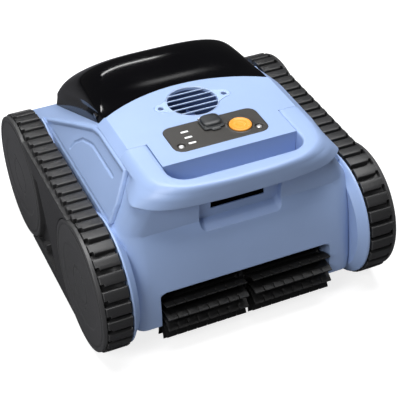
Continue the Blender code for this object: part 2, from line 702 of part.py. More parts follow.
def build_wheel(side, y):
    """Drum wheel, its snap-on cover disc and its axle, on one spin axis."""
    tag = ("front" if y < 0 else "rear") + "_" + side_name(side)
    point = (side * 179.0, y, WHEEL_Z)
    axis = add_axis("wheel_axis_" + tag, point)
    place = {"origin": point, "parent": axis}
    rim_r = BELT_INNER_R - 0.4
    outline = [(side * 164.0, AXLE_R + GAP), (side * 164.0, 14.0), (side * 176.0, 16.0),
               (side * 176.0, rim_r - 6), (side * 164.0, rim_r - 5), (side * 164.0, rim_r),
               (side * 194.3, rim_r), (side * 194.3, rim_r - 5), (side * 181.0, rim_r - 6),
               (side * 181.0, 16.0), (side * 192.0, 14.0), (side * 192.0, AXLE_R + GAP)]
    wheel = bored_x("wheel_" + tag, outline, (y, WHEEL_Z), 28, **place)
    finish(wheel, DARK_GREY, 0.5, smooth=True)
    cover = turned_x("wheel_cap_" + tag, [(side * 195.1, CAP_R - 1.0), (side * 198.6, CAP_R),
                                          (side * SIDE_FACE_X, CAP_R - 1.4)], (y, WHEEL_Z), 40, **place)
    finish(cover, DARK_GREY, 0.55, smooth=True)
    if y < 0:
        profile = [(side * 122.5, AXLE_R), (side * PULLEY_X[0], AXLE_R), (side * (PULLEY_X[0] + 0.01),
                   AXLE_PULLEY_R), (side * PULLEY_X[1], AXLE_PULLEY_R),
                   (side * (PULLEY_X[1] + 0.01), AXLE_R), (side * 191.5, AXLE_R)]
    else:
        profile = [(side * 149.9, AXLE_R), (side * 191.5, AXLE_R)]
    axle = turned_x("axle_" + tag, profile, (y, WHEEL_Z), 20, **place)
    finish(axle, STEEL, 0.3, 1.0, smooth=True)


def build_side_cover(side):
    """Fixed outer cover between the two wheels, with the block that carries it inside the belt."""
    def arc(radius, centre_y, first, last, steps):
        return corner_arc(centre_y, WHEEL_Z, radius, first, last, steps)
    plate_r = CAP_R + 0.6
    span = math.degrees(math.asin((BELT_ROOT_R - 0.4) / plate_r))
    outline = arc(plate_r, -WHEEL_Y, -span, span, 10) + arc(plate_r, WHEEL_Y, 180 - span, 180 + span, 10)
    xs = sorted((side * (TRACK_OUTER_X + 0.2), side * (SIDE_FACE_X - 0.2)))
    cover = prism_x("side_cover_" + side_name(side), outline, xs[0], xs[1])
    block_r = BELT_INNER_R + 1.2
    reach = math.degrees(math.asin((BELT_INNER_R - 1.0) / block_r))
    block_outline = arc(block_r, -WHEEL_Y, -reach, reach, 8) + arc(block_r, WHEEL_Y, 180 - reach,
                                                                   180 + reach, 8)
    block_x = sorted((side * 163.6, side * (TRACK_OUTER_X + GAP)))
    pocket_x = sorted((side * 197.0, side * 210.0))
    pocket = prism_x(f"cover_pocket_{side_name(side)}",
                     [(30.0, 139.0), (27.0, 137.0), (-20.0, 40.0), (-27.0, 24.0), (20.0, 24.0), (60.0, 30.0),
                      (60.0, 139.0)], pocket_x[0], pocket_x[1])
    weld(cover, prism_x(f"cover_block_{side_name(side)}", block_outline, block_x[0], block_x[1]))
    hollow_r = block_r + 4.0
    hollow_reach = math.degrees(math.asin((BELT_INNER_R - 5.0) / hollow_r))
    hollow_outline = arc(hollow_r, -WHEEL_Y, -hollow_reach, hollow_reach, 6)
    hollow_outline += arc(hollow_r, WHEEL_Y, 180 - hollow_reach, 180 + hollow_reach, 6)
    hollow_x = sorted((side * 155.0, side * 191.0))
    cut(cover, prism_x(f"cover_hollow_{side_name(side)}", hollow_outline, hollow_x[0], hollow_x[1]))
    cut(cover, pocket)
    post_x = sorted((side * 196.0, side * 199.4))
    weld(cover, box(f"cover_post_{side_name(side)}", post_x, (19.0, 28.0), (33.0, 42.0)))
    return finish(cover, DARK_GREY, 0.55)


def build_drive_motor(side):
    profile = [(side * 100.0, 14.0), (side * 104.0, 20.0), (side * 136.0, 20.0), (side * 136.01, 27.0),
               (side * 149.4, 27.0)]
    motor = turned_x("drive_motor_" + side_name(side), profile, (WHEEL_Y, WHEEL_Z), 28)
    return finish(motor, STEEL, 0.4, 0.8, smooth=True)


# ---------------------------------------------------------------- brush

def build_brush(side):
    """One half of the front brush: a core with its pulley and a sleeve of rubber blades."""
    name = side_name(side)
    point = (side * 60.0, BRUSH_Y, BRUSH_Z)
    axis = add_axis("brush_axis_" + name, point)
    place = {"origin": point, "parent": axis}
    profile = [(side * 3.0, BRUSH_CORE_R), (side * (BRUSH_END_X + 0.5), BRUSH_CORE_R),
               (side * (BRUSH_END_X + 0.51), AXLE_R), (side * PULLEY_X[0], AXLE_R),
               (side * (PULLEY_X[0] + 0.01), BRUSH_PULLEY_R), (side * PULLEY_X[1], BRUSH_PULLEY_R),
               (side * (PULLEY_X[1] + 0.01), AXLE_R), (side * 138.0, AXLE_R)]
    core = turned_x("brush_core_" + name, profile, (BRUSH_Y, BRUSH_Z), 20, **place)
    finish(core, RUBBER, 0.5, smooth=True)
    pitch = 360.0 / BRUSH_FINS
    rings = []
    for i in range(BRUSH_FINS):
        for turn, radius in ((-5.2, BRUSH_BASE_R), (-1.1, BRUSH_TIP_R), (1.1, BRUSH_TIP_R),
                             (5.2, BRUSH_BASE_R)):
            angle = math.radians(i * pitch + turn)
            ring = []
            for x, r in ((3.2, BRUSH_CORE_R + GAP), (BRUSH_END_X, BRUSH_CORE_R + GAP),
                         (BRUSH_END_X, radius), (3.2, radius)):
                ring.append((side * x, BRUSH_Y + r * math.cos(angle), BRUSH_Z + r * math.sin(angle)))
            rings.append(ring)
    sleeve = add_object("brush_sleeve_" + name, rings, loop=True, **place)
    finish(sleeve, RUBBER, 0.6)


def build_brush_bearing():
    """Centre hanger between the two brush halves, carried by the roof of the brush tunnel."""
    roof = BRUSH_Z + CHAMBER_R - 0.4
    outline = [(BRUSH_Y - 7, BRUSH_Z - 7), (BRUSH_Y + 7, BRUSH_Z - 7), (BRUSH_Y + 11, BRUSH_Z + 10),
               (BRUSH_Y + 18, roof - 4.0), (BRUSH_Y, roof), (BRUSH_Y - 18, roof - 4.0),
               (BRUSH_Y - 11, BRUSH_Z + 10)]
    hanger = prism_x("brush_hanger", outline, -2.4, 2.4)
    return finish(hanger, DARK_GREY, 0.5)


def build_drive_belt(side):
    """Flat belt from the front axle pulley down to the brush pulley."""
    dy = BRUSH_Y + WHEEL_Y
    dz = BRUSH_Z - WHEEL_Z
    span = math.hypot(dy, dz)
    heading = math.atan2(dz, dy)
    lean = math.acos((AXLE_PULLEY_R - BRUSH_PULLEY_R) / span)
    stations = []
    steps = 10
    for i in range(steps + 1):
        angle = heading + lean + (2 * math.pi - 2 * lean) * i / steps
        stations.append((-WHEEL_Y, WHEEL_Z, AXLE_PULLEY_R + GAP, angle))
    for i in range(steps + 1):
        angle = heading - lean + 2 * lean * i / steps
        stations.append((BRUSH_Y, BRUSH_Z, BRUSH_PULLEY_R + GAP, angle))
    rings = []
    for cy, cz, radius, angle in stations:
        ring = []
        for x, grow in ((PULLEY_X[0] + 0.5, 0.0), (PULLEY_X[1] - 0.5, 0.0),
                        (PULLEY_X[1] - 0.5, DRIVE_BELT_THICK), (PULLEY_X[0] + 0.5, DRIVE_BELT_THICK)):
            r = radius / math.cos(math.pi / 20) + grow
            ring.append((side * x, cy + r * math.cos(angle), cz + r * math.sin(angle)))
        rings.append(ring)
    belt = add_object("brush_drive_belt_" + side_name(side), rings, loop=True)
    return finish(belt, RUBBER, 0.7)


# ---------------------------------------------------------------- pump, battery, outlet

def grille_outline(grow):
    """Round plate with a screw ear on each side."""
    ear = GRILLE_EAR_R + grow
    rim = GRILLE_RIM_R + grow
    points = corner_arc(GRILLE_EAR_X, PUMP_Y, ear, -95, 95, 6)
    points += corner_arc(0.0, PUMP_Y, rim, 25, 155, 12)
    points += corner_arc(-GRILLE_EAR_X, PUMP_Y, ear, 85, 275, 6)
    points += corner_arc(0.0, PUMP_Y, rim, 205, 335, 12)
    return points


def build_grille():
    top = DECK_Z + 0.3
    grille = prism_z("outlet_grille", grille_outline(0.0), DECK_Z - 3.0, top)
    openings = GRILLE_SLATS + 1
    pitch = 2 * GRILLE_R / openings
    for i in range(openings):
        low = -GRILLE_R + i * pitch + (SLAT_WIDTH / 2 if i else 0.0)
        high = -GRILLE_R + (i + 1) * pitch - (SLAT_WIDTH / 2 if i < openings - 1 else 0.0)
        start = math.asin(max(low / GRILLE_R, -0.985))
        stop = math.asin(min(high / GRILLE_R, 0.985))
        edge = []
        for k in range(5):
            angle = start + (stop - start) * k / 4
            edge.append((GRILLE_R * math.cos(angle), PUMP_Y + GRILLE_R * math.sin(angle)))
        cut(grille, prism_z(f"grille_opening_{i}", mirrored(edge), 220.0, 260.0))
    for side in (-1, 1):
        centre = (side * GRILLE_EAR_X, PUMP_Y)
        cut(grille, turned_z(f"ear_bore_{side_name(side)}", [(220.0, 3.5), (260.0, 3.5)], centre, 14))
        screw = turned_z("grille_screw_" + side_name(side),
                         [(226.0, 1.4), (236.5, 1.4), (236.51, 3.1), (238.4, 3.1)], centre, 14)
        finish(screw, STEEL, 0.3, 1.0, smooth=True)
    finish(grille, PALE_BLUE, 0.35)

    rings = []
    for i in range(32):
        angle = 2 * math.pi * i / 32
        rings.append([(r * math.cos(angle), PUMP_Y + r * math.sin(angle), z)
                      for r, z in ((31.5, 194.0), (33.5, 194.0), (33.5, DECK_Z - 3.4), (31.5, DECK_Z - 3.4))])
    duct = add_object("outlet_duct", rings, loop=True)
    finish(duct, NAVY, 0.5, smooth=True)


def build_pump():
    centre = (0.0, PUMP_Y)
    motor = turned_z("pump_motor", [(PAN_Z + WALL + GAP, 34.0), (40.0, 34.0), (40.01, 24.0),
                                    (186.0, 24.0), (190.0, 20.0)], centre, 28)
    cut(motor, turned_z("pump_shaft_bore", [(150.0, 3.4), (200.0, 3.4)], centre, 14))
    finish(motor, STEEL, 0.4, 0.8, smooth=True)
    point = (0.0, PUMP_Y, 205.0)
    axis = add_axis("impeller_axis", point)
    impeller = turned_z("impeller", [(160.0, 3.0), (196.0, 3.0), (196.01, 9.0), (212.0, 9.0), (217.0, 4.0)],
                        centre, 20, origin=point, parent=axis)
    blades = 5
    for i in range(blades):
        angle = 2 * math.pi * i / blades
        c = math.cos(angle)
        s = math.sin(angle)
        rings = []
        for r, low, high, half in ((6.0, 199.0, 211.0, 1.2), (28.0, 202.0, 208.0, 1.2)):
            ring = []
            for along, z in ((-5.0 - half, low), (-5.0 + half, low), (5.0 + half, high), (5.0 - half, high)):
                ring.append((r * c - along * s, PUMP_Y + r * s + along * c, z))
            rings.append(ring)
        weld(impeller, add_object(f"impeller_blade_{i}", rings))
    finish(impeller, DARK_GREY, 0.5, smooth=True)


def build_power():
    battery = box("battery_pack", (-70.0, 70.0), (-92.0, -54.0), (PAN_Z + WALL + GAP, 110.0))
    edge = battery.modifiers.new("soft_edges", 'BEVEL')
    edge.width = 3 * MM
    edge.segments = 2
    finish(battery, BATTERY_BLUE, 0.5)
    board = box("control_board_case", (-72.0, 72.0), (-92.0, -52.0), (116.0, 150.0))
    finish(board, BOARD_GREEN, 0.5)


# ---------------------------------------------------------------- control panel

def build_panel():
    low = PANEL_TOP_Z - PANEL_THICK
    outline = plan_outline(PANEL_X, PANEL_Y[0], PANEL_Y[1], 12, 12, 4)
    panel = prism_z("control_panel", outline, low, PANEL_TOP_Z)
    for side in (-1, 1):
        xs = sorted((side * 11.4, side * 13.6))
        weld(panel, box(f"cap_lug_{side_name(side)}", xs, (CAP_HINGE_Y - 1.6, CAP_HINGE_Y + 1.6),
                        (237.0, CAP_HINGE_Z + 1.8)))
    cut(panel, turned_z("button_hole", [(220.0, BUTTON_R + 0.4), (260.0, BUTTON_R + 0.4)],
                        (BUTTON_X, BUTTON_Y), 32),
        turned_z("socket_hole", [(220.0, SOCKET_R + GAP), (260.0, SOCKET_R + GAP)], (0.0, SOCKET_Y), 24),
        turned_x("cap_lug_bore", [(-15.0, 1.0), (15.0, 1.0)], (CAP_HINGE_Y, CAP_HINGE_Z), 10))
    for i, y in enumerate(LIGHT_YS):
        half_x = LIGHT_SIZE[0] / 2
        half_y = LIGHT_SIZE[1] / 2
        cut(panel, box(f"light_window_{i + 1}", (LIGHT_X - half_x - GAP, LIGHT_X + half_x + GAP),
                       (y - half_y - GAP, y + half_y + GAP), (220.0, 260.0)))
        light = box(f"charge_light_{i + 1}", (LIGHT_X - half_x, LIGHT_X + half_x), (y - half_y, y + half_y),
                    (low, PANEL_TOP_Z + 0.2))
        finish(light, WHITE, 0.3)
    for side in (-1, 1):
        centre = (side * SCREW_X, SCREW_Y)
        cut(panel, turned_z(f"screw_bore_{side_name(side)}", [(220.0, 4.0), (260.0, 4.0)], centre, 16))
        screw = turned_z("panel_screw_" + side_name(side),
                         [(226.0, 1.5), (235.0, 1.5), (235.01, 3.3), (238.4, 3.3), (239.0, 2.4)], centre, 16)
        finish(screw, WHITE, 0.3, 0.6, smooth=True)
    finish(panel, PANEL_GREY, 0.55)

    socket = turned_z("charging_socket", [(229.0, SOCKET_R), (PANEL_TOP_Z - 0.2, SOCKET_R)],
                      (0.0, SOCKET_Y), 24)
    cut(socket, turned_z("socket_room", [(231.0, 6.5), (250.0, 6.5)], (0.0, SOCKET_Y), 20))
    finish(socket, RUBBER, 0.5)


def build_button():
    point = (BUTTON_X, BUTTON_Y, PANEL_TOP_Z)
    axis = add_axis("power_button_axis", point)
    button = turned_z("power_button", [(236.6, BUTTON_R), (240.4, BUTTON_R), (241.0, BUTTON_R - 0.8),
                                       (240.9, BUTTON_R - 2.4), (240.2, BUTTON_R - 5.0), (239.9, 4.0)],
                      (BUTTON_X, BUTTON_Y), 32, origin=point, parent=axis)
    finish(button, ORANGE, 0.4, smooth=True)


def build_port_cap():
    """Rubber flap over the charging socket, with a pull tab at its front."""
    point = (0.0, CAP_HINGE_Y, CAP_HINGE_Z)
    axis = add_axis("port_cap_axis", point)
    low = PANEL_TOP_Z + 0.3
    side_view = [(CAP_HINGE_Y - 1.4, CAP_HINGE_Z - 1.5), (CAP_HINGE_Y - 1.4, CAP_HINGE_Z + 1.5),
                 (-66.0, 246.8), (-76.0, 247.5), (-81.0, 244.5), (-84.5, 242.2), (-84.5, low),
                 (-64.0, low)]
    flap = prism_x("port_cap", side_view, -13.7, 13.7, origin=point, parent=axis)
    weld(flap, turned_x("cap_barrel", [(-10.9, 2.1), (10.9, 2.1)], (CAP_HINGE_Y, CAP_HINGE_Z), 14))
    for side in (-1, 1):
        xs = sorted((side * 11.1, side * 20.0))
        cut(flap, box(f"cap_lug_room_{side_name(side)}", xs, (CAP_HINGE_Y - 2.4, CAP_HINGE_Y + 5.0),
                      (230.0, 252.0)))
    cut(flap, turned_x("cap_barrel_bore", [(-20.0, 1.0), (20.0, 1.0)], (CAP_HINGE_Y, CAP_HINGE_Z), 10))
    finish(flap, RUBBER, 0.6)
    pin = turned_x("port_cap_pin", [(-13.4, 0.7), (13.4, 0.7)], (CAP_HINGE_Y, CAP_HINGE_Z), 10)
    finish(pin, STEEL, 0.3, 1.0, smooth=True)


# ---------------------------------------------------------------- assembly

clear_scene()
build_upper_shell()
build_lower_shell()
build_carry_handle()
build_lid(add_axis("lid_axis", (0.0, HINGE_Y, HINGE_Z)))
build_lid_fixings()
build_basket()
build_inlet_flap()
build_grille()
build_pump()
build_power()
build_panel()
build_button()
build_port_cap()
build_brush_bearing()
for side in (-1, 1):
    build_fender(side)
    build_track(side)
    build_wheel(side, -WHEEL_Y)
    build_wheel(side, WHEEL_Y)
    build_side_cover(side)
    build_drive_motor(side)
    build_brush(side)
    build_drive_belt(side)
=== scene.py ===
"""A robotic pool cleaner: a blue casing between two rubber tracks, a carry handle and a smoked
lid on top, a control panel and pump grille on the deck, and a split rubber brush at the front."""

import math
from functools import partial

import bmesh
import bpy
import numpy as np
from mathutils import Euler, Matrix


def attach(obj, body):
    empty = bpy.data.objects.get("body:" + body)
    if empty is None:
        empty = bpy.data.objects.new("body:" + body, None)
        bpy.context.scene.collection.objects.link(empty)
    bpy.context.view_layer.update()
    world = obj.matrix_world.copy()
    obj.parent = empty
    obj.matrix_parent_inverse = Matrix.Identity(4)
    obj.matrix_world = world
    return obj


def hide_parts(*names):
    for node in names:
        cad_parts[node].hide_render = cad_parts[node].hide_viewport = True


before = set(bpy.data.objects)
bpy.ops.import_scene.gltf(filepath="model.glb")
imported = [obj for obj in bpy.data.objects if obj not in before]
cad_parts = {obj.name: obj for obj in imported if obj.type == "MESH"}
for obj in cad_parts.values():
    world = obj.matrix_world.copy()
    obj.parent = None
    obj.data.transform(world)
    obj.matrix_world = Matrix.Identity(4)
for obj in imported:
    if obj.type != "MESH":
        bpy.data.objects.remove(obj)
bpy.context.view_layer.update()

# ---- Floor, lamps and camera -------------------------------------------------------------------
# A softly glowing white table under one broad lamp overhead, a weaker lamp at the front left, and
# a narrow one far behind that draws the thin streak on the crest of the lid.
TABLE_GLOW = 0.80
CAMERA_AT = (-0.4897, -1.1290, 1.0389)
CAMERA_TURN = (51.726, 0.168, -24.305)  # degrees about X, Y and Z


def math_node(tree, kind, a, b, clamp=False):
    """A Math node in the tree, fed with numbers or sockets."""
    made = tree.nodes.new("ShaderNodeMath")
    made.operation = kind
    made.use_clamp = clamp
    for socket, value in zip(made.inputs, (a, b)):
        if isinstance(value, float):
            socket.default_value = value
        else:
            tree.links.new(value, socket)
    return made.outputs[0]


def mix_node(tree, amount, a, b):
    """A colour Mix node in the tree, fed with colours or sockets."""
    made = tree.nodes.new("ShaderNodeMix")
    made.data_type = "RGBA"
    tree.links.new(amount, made.inputs["Factor"])
    for socket, value in ((made.inputs["A"], a), (made.inputs["B"], b)):
        if isinstance(value, tuple):
            socket.default_value = value
        else:
            tree.links.new(value, socket)
    return made.outputs["Result"]


scene = bpy.context.scene
scene.view_settings.view_transform = "Standard"

bpy.ops.mesh.primitive_plane_add(size=12, location=(0, 0, -0.0002))
floor = bpy.context.object
floor.name = "table_top"
paper = bpy.data.materials.new("white_table")
paper.use_nodes = True
paper_tree = paper.node_tree
paper_noise = paper_tree.nodes.new("ShaderNodeTexNoise")
paper_noise.inputs["Scale"].default_value = 3
rays = paper_tree.nodes.new("ShaderNodeLightPath").outputs
paper_shade = mix_node(
    paper_tree, paper_noise.outputs["Fac"], (0.40, 0.40, 0.405, 1), (0.43, 0.43, 0.43, 1)
)
# Mirror-like reflections see a darker table, so that gloss on the object stays deep.
paper_shade = mix_node(paper_tree, rays["Is Glossy Ray"], paper_shade, (0.10, 0.10, 0.11, 1))
paper_glow = math_node(paper_tree, "MULTIPLY", rays["Is Camera Ray"], TABLE_GLOW)
paper_shader = paper_tree.nodes["Principled BSDF"].inputs
paper_shader["Roughness"].default_value = 0.9
paper_shader["Emission Color"].default_value = (1.0, 1.0, 1.0, 1)
paper_tree.links.new(paper_shade, paper_shader["Base Color"])
paper_tree.links.new(paper_glow, paper_shader["Emission Strength"])
floor.data.materials.append(paper)

room = bpy.data.worlds.new("white_room")
room.use_nodes = True
room_light = room.node_tree.nodes["Background"].inputs
room_light["Color"].default_value = (1.0, 1.0, 1.0, 1)
room_light["Strength"].default_value = 0.07
scene.world = room


def lamp(name, place, target, size, watts):
    """A rectangular lamp at place, turned so that its face looks at target."""
    data = bpy.data.lights.new(name, "AREA")
    data.shape = "RECTANGLE"
    data.size, data.size_y = size
    data.energy = watts
    back = np.subtract(place, target)
    back = back / np.linalg.norm(back)
    side = np.cross((0.0, 0.0, 1.0), back)
    side = side / np.linalg.norm(side)
    turn = np.column_stack([side, np.cross(back, side), back])
    light = bpy.data.objects.new(name, data)
    light.matrix_world = Matrix.Translation(place) @ Matrix(turn.tolist()).to_4x4()
    scene.collection.objects.link(light)


lamp("overhead_lamp", (0.0, 0.10, 1.85), (0.0, 0.02, 0.20), (1.8, 1.3), 46)
lamp("left_lamp", (-1.50, -1.00, 1.45), (-0.02, -0.05, 0.12), (0.9, 0.8), 19)
lamp("crest_lamp", (0.20, 1.42, 1.30), (-0.05, 0.09, 0.25), (0.70, 0.06), 2.6)

camera = bpy.data.objects.new("camera", bpy.data.cameras.new("camera"))
camera.data.lens = 103.25
camera.data.sensor_width = 36
camera.data.clip_start, camera.data.clip_end = 0.01, 50
camera_turn = Euler(np.radians(CAMERA_TURN)).to_matrix().to_4x4()
camera.matrix_world = Matrix.Translation(CAMERA_AT) @ camera_turn
scene.collection.objects.link(camera)
scene.camera = camera

# ---- Blue casing -------------------------------------------------------------------------------
# The body is one injection-moulded shell in periwinkle ABS with a satin skin and small radii on
# every edge. Its lower pan is a second moulding screwed to it from below.


def linear(red, green, blue):
    """A screen colour of 0 to 255 as the linear colour of a shader socket."""
    c = np.array([red, green, blue]) / 255
    c = np.where(c <= 0.04045, c / 12.92, ((c + 0.055) / 1.055) ** 2.4)
    return (*c.tolist(), 1.0)


def moulded_skin_group():
    """Shared skin of a moulded piece: broad cloudy shade changes, fine grain, hair scratches and
    edges painted paler, which is wear on some pieces and a painted highlight along the edges on
    others. The edge mask is one minus the dot product of the true normal and the normal rounded
    over the given radius."""
    group = bpy.data.node_groups.new("moulded_skin", "ShaderNodeTree")
    face = group.interface
    for label, kind, value in (
        ("Colour", "NodeSocketColor", (0.5, 0.5, 0.5, 1)),
        ("Wear And Highlight Colour", "NodeSocketColor", (0.7, 0.7, 0.7, 1)),
        ("Cloud", "NodeSocketFloat", 0.06),
        ("Wear And Highlight", "NodeSocketFloat", 0.3),
        ("Roughness", "NodeSocketFloat", 0.4),
        ("Grain Scale", "NodeSocketFloat", 1400.0),
        ("Grain Height", "NodeSocketFloat", 0.15),
        ("Edge Radius", "NodeSocketFloat", 0.0008),
    ):
        socket = face.new_socket(label, in_out="INPUT", socket_type=kind)
        socket.default_value = value
    for label, kind in (
        ("Colour", "NodeSocketColor"),
        ("Roughness", "NodeSocketFloat"),
        ("Normal", "NodeSocketVector"),
    ):
        face.new_socket(label, in_out="OUTPUT", socket_type=kind)
    nodes, links = group.nodes, group.links
    given = nodes.new("NodeGroupInput")
    out = nodes.new("NodeGroupOutput")
    where = nodes.new("ShaderNodeTexCoord").outputs["Object"]

    def noise(scale, detail, stretch=None):
        place = where
        if stretch:
            mapping = nodes.new("ShaderNodeMapping")
            mapping.inputs["Scale"].default_value = stretch
            mapping.inputs["Rotation"].default_value = (0.4, 0.3, 0.7)
            links.new(where, mapping.inputs["Vector"])
            place = mapping.outputs["Vector"]
        made = nodes.new("ShaderNodeTexNoise")
        made.inputs["Detail"].default_value = detail
        if isinstance(scale, float):
            made.inputs["Scale"].default_value = scale
        else:
            links.new(scale, made.inputs["Scale"])
        links.new(place, made.inputs["Vector"])
        return made.outputs["Fac"]

    sums = partial(math_node, group)
    rounded = nodes.new("ShaderNodeBevel")
    rounded.samples = 4
    links.new(given.outputs["Edge Radius"], rounded.inputs["Radius"])
    true_normal = nodes.new("ShaderNodeNewGeometry").outputs["Normal"]
    dot = nodes.new("ShaderNodeVectorMath")
    dot.operation = "DOT_PRODUCT"
    links.new(rounded.outputs["Normal"], dot.inputs[0])
    links.new(true_normal, dot.inputs[1])
    edge = sums("MULTIPLY", sums("SUBTRACT", 1.0, dot.outputs["Value"]), 5.0, True)
    patchy = sums("MULTIPLY", edge, sums("ADD", noise(90.0, 3.0), 0.3), True)
    wear_and_highlight_edge = sums("MULTIPLY", patchy, given.outputs["Wear And Highlight"], True)
    cloud = sums("SUBTRACT", noise(11.0, 3.0), 0.5)
    cloud = sums("MULTIPLY", cloud, given.outputs["Cloud"])
    shade = sums("ADD", sums("MULTIPLY", cloud, 3.0), 1.0)
    hair = sums("GREATER_THAN", noise(60.0, 2.0, (14.0, 0.6, 3.0)), 0.72)
    tinted = nodes.new("ShaderNodeVectorMath")
    tinted.operation = "SCALE"
    links.new(given.outputs["Colour"], tinted.inputs[0])
    links.new(shade, tinted.inputs["Scale"])
    colour = mix_node(group, wear_and_highlight_edge, tinted.outputs["Vector"], given.outputs["Wear And Highlight Colour"])
    links.new(colour, out.inputs["Colour"])
    rough = sums("ADD", given.outputs["Roughness"], sums("MULTIPLY", cloud, 2.0))
    rough = sums("ADD", rough, sums("MULTIPLY", hair, 0.04))
    links.new(sums("SUBTRACT", rough, sums("MULTIPLY", wear_and_highlight_edge, 0.1), True), out.inputs["Roughness"])
    grain = nodes.new("ShaderNodeBump")
    grain.inputs["Distance"].default_value = 0.0002
    links.new(given.outputs["Grain Height"], grain.inputs["Strength"])
    links.new(noise(given.outputs["Grain Scale"], 2.0), grain.inputs["Height"])
    links.new(rounded.outputs["Normal"], grain.inputs["Normal"])
    links.new(grain.outputs["Normal"], out.inputs["Normal"])
    return group


moulded_skin = moulded_skin_group()


def moulded(name, colour, wear_and_highlight_edge, rough, cloud=0.06, wear_and_highlight=0.3, grain=(1400, 0.15), edge=0.0008):
    """A Principled material whose colour, roughness and normal come from the moulded skin."""
    material = bpy.data.materials.new(name)
    material.use_nodes = True
    tree = material.node_tree
    skin = tree.nodes.new("ShaderNodeGroup")
    skin.node_tree = moulded_skin
    for label, value in (
        ("Colour", colour),
        ("Wear And Highlight Colour", wear_and_highlight_edge),
        ("Cloud", cloud),
        ("Wear And Highlight", wear_and_highlight),
        ("Roughness", rough),
        ("Grain Scale", grain[0]),
        ("Grain Height", grain[1]),
        ("Edge Radius", edge),
    ):
        skin.inputs[label].default_value = value
    shader = tree.nodes["Principled BSDF"]
    tree.links.new(skin.outputs["Colour"], shader.inputs["Base Color"])
    tree.links.new(skin.outputs["Roughness"], shader.inputs["Roughness"])
    tree.links.new(skin.outputs["Normal"], shader.inputs["Normal"])
    return material


def dress(material, *names):
    """Gives carried-over CAD nodes their finish."""
    for name in names:
        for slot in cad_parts[name].material_slots:
            slot.material = material


# The near-white edge colour of the blue is partly wear and partly a painted highlight along its
# glossy edges and fillets.
blue = moulded("blue_casing", linear(152, 175, 216), linear(208, 228, 250), 0.36, wear_and_highlight=0.5)
pan_grey = moulded("pan_grey", linear(58, 59, 62), linear(120, 122, 124), 0.5, cloud=0.10,
                   wear_and_highlight=0.5)
dress(pan_grey, "lower_shell")


def edged_copy(node, body, material, width, angle=28):
    """A merged copy of a CAD node whose edges over the given angle get a radius."""
    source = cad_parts[node]
    mesh = source.data.copy()
    shape = bmesh.new()
    shape.from_mesh(mesh)
    bmesh.ops.remove_doubles(shape, verts=shape.verts, dist=2e-6)
    bmesh.ops.dissolve_limit(
        shape, angle_limit=math.radians(0.4), verts=shape.verts, edges=shape.edges
    )
    shape.to_mesh(mesh)
    shape.free()
    if "custom_normal" in mesh.attributes:
        mesh.attributes.remove(mesh.attributes["custom_normal"])
    mesh.shade_smooth()
    mesh.set_sharp_from_angle(angle=math.radians(angle))
    mesh.materials.clear()
    mesh.materials.append(material)
    piece = bpy.data.objects.new(node + "_skin", mesh)
    scene.collection.objects.link(piece)
    bevel = piece.modifiers.new("edge_radius", "BEVEL")
    bevel.width = width
    bevel.segments = 2
    bevel.limit_method = "ANGLE"
    bevel.angle_limit = math.radians(angle)
    bevel.harden_normals = True
    even = piece.modifiers.new("flat_faces", "WEIGHTED_NORMAL")
    even.keep_sharp = True
    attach(piece, body)
    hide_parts(node)
    return piece


edged_copy("upper_shell", "chassis", blue, 0.0007)

# ---- Carry handle ------------------------------------------------------------------------------
# A U-shaped grip moulded in the same blue, let into the deck and screwed from inside. Its front
# face swells outwards, its top is flat and its arms end at a seam across the deck.


def make_piece(name, made, body, material, stands_for=(), sharp=35):
    """Puts made, which is points (n, 3) in millimetres and faces, into a mesh at the origin.
    Points that coincide are merged, faces are turned outwards, and edges sharper than the given
    angle stay sharp."""
    points, faces = made
    mesh = bpy.data.meshes.new(name)
    mesh.from_pydata((points / 1000).tolist(), [], [list(face) for face in faces])
    shape = bmesh.new()
    shape.from_mesh(mesh)
    bmesh.ops.remove_doubles(shape, verts=shape.verts, dist=1e-6)
    bmesh.ops.recalc_face_normals(shape, faces=shape.faces)
    shape.to_mesh(mesh)
    shape.free()
    mesh.shade_smooth()
    mesh.set_sharp_from_angle(angle=math.radians(sharp))
    mesh.materials.append(material)
    piece = bpy.data.objects.new(name, mesh)
    scene.collection.objects.link(piece)
    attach(piece, body)
    if stands_for:
        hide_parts(*stands_for)
    return piece


def squares(index):
    """One face for each square of four neighbours in a grid of point numbers."""
    corners = (index[:-1, :-1], index[:-1, 1:], index[1:, 1:], index[1:, :-1])
    return np.stack(corners, -1).reshape(-1, 4)


def ringed(rings, closed=False):
    """Closed rings (n, m, 3) joined in their order, as a profile carried along a path. The first
    and the last ring get a flat end face, or are joined to each other when closed."""
    count, size = rings.shape[:2]
    index = np.arange(count * size).reshape(count, size)
    index = np.hstack([index, index[:, :1]])
    if closed:
        index = np.vstack([index, index[:1]])
    faces = squares(index).tolist()
    if not closed:
        faces += [index[0, :-1].tolist(), index[-1, :-1].tolist()]
    return rings.reshape(-1, 3), faces


def curve_through(points, places):
    """A smooth curve through the points, read at places, which count points from 0. Between two
    points it is the Catmull-Rom cubic of those two and their neighbours."""
    points = np.asarray(points, float)
    padded = np.vstack([2 * points[0] - points[1], points, 2 * points[-1] - points[-2]])
    first = np.clip(np.floor(places).astype(int), 0, len(points) - 2)
    t = (places - first)[:, None]
    a, b, c, d = (padded[first + offset] for offset in range(4))
    return 0.5 * (2 * b + (c - a) * t + (2 * a - 5 * b + 4 * c - d) * t**2
                  + (3 * b - a - 3 * c + d) * t**3)


def both_sides(half):
    """The right half of an outline, from the middle outwards, with its mirror image before it."""
    half = np.asarray(half, float)
    return np.vstack([half[:0:-1] * (-1, 1), half])


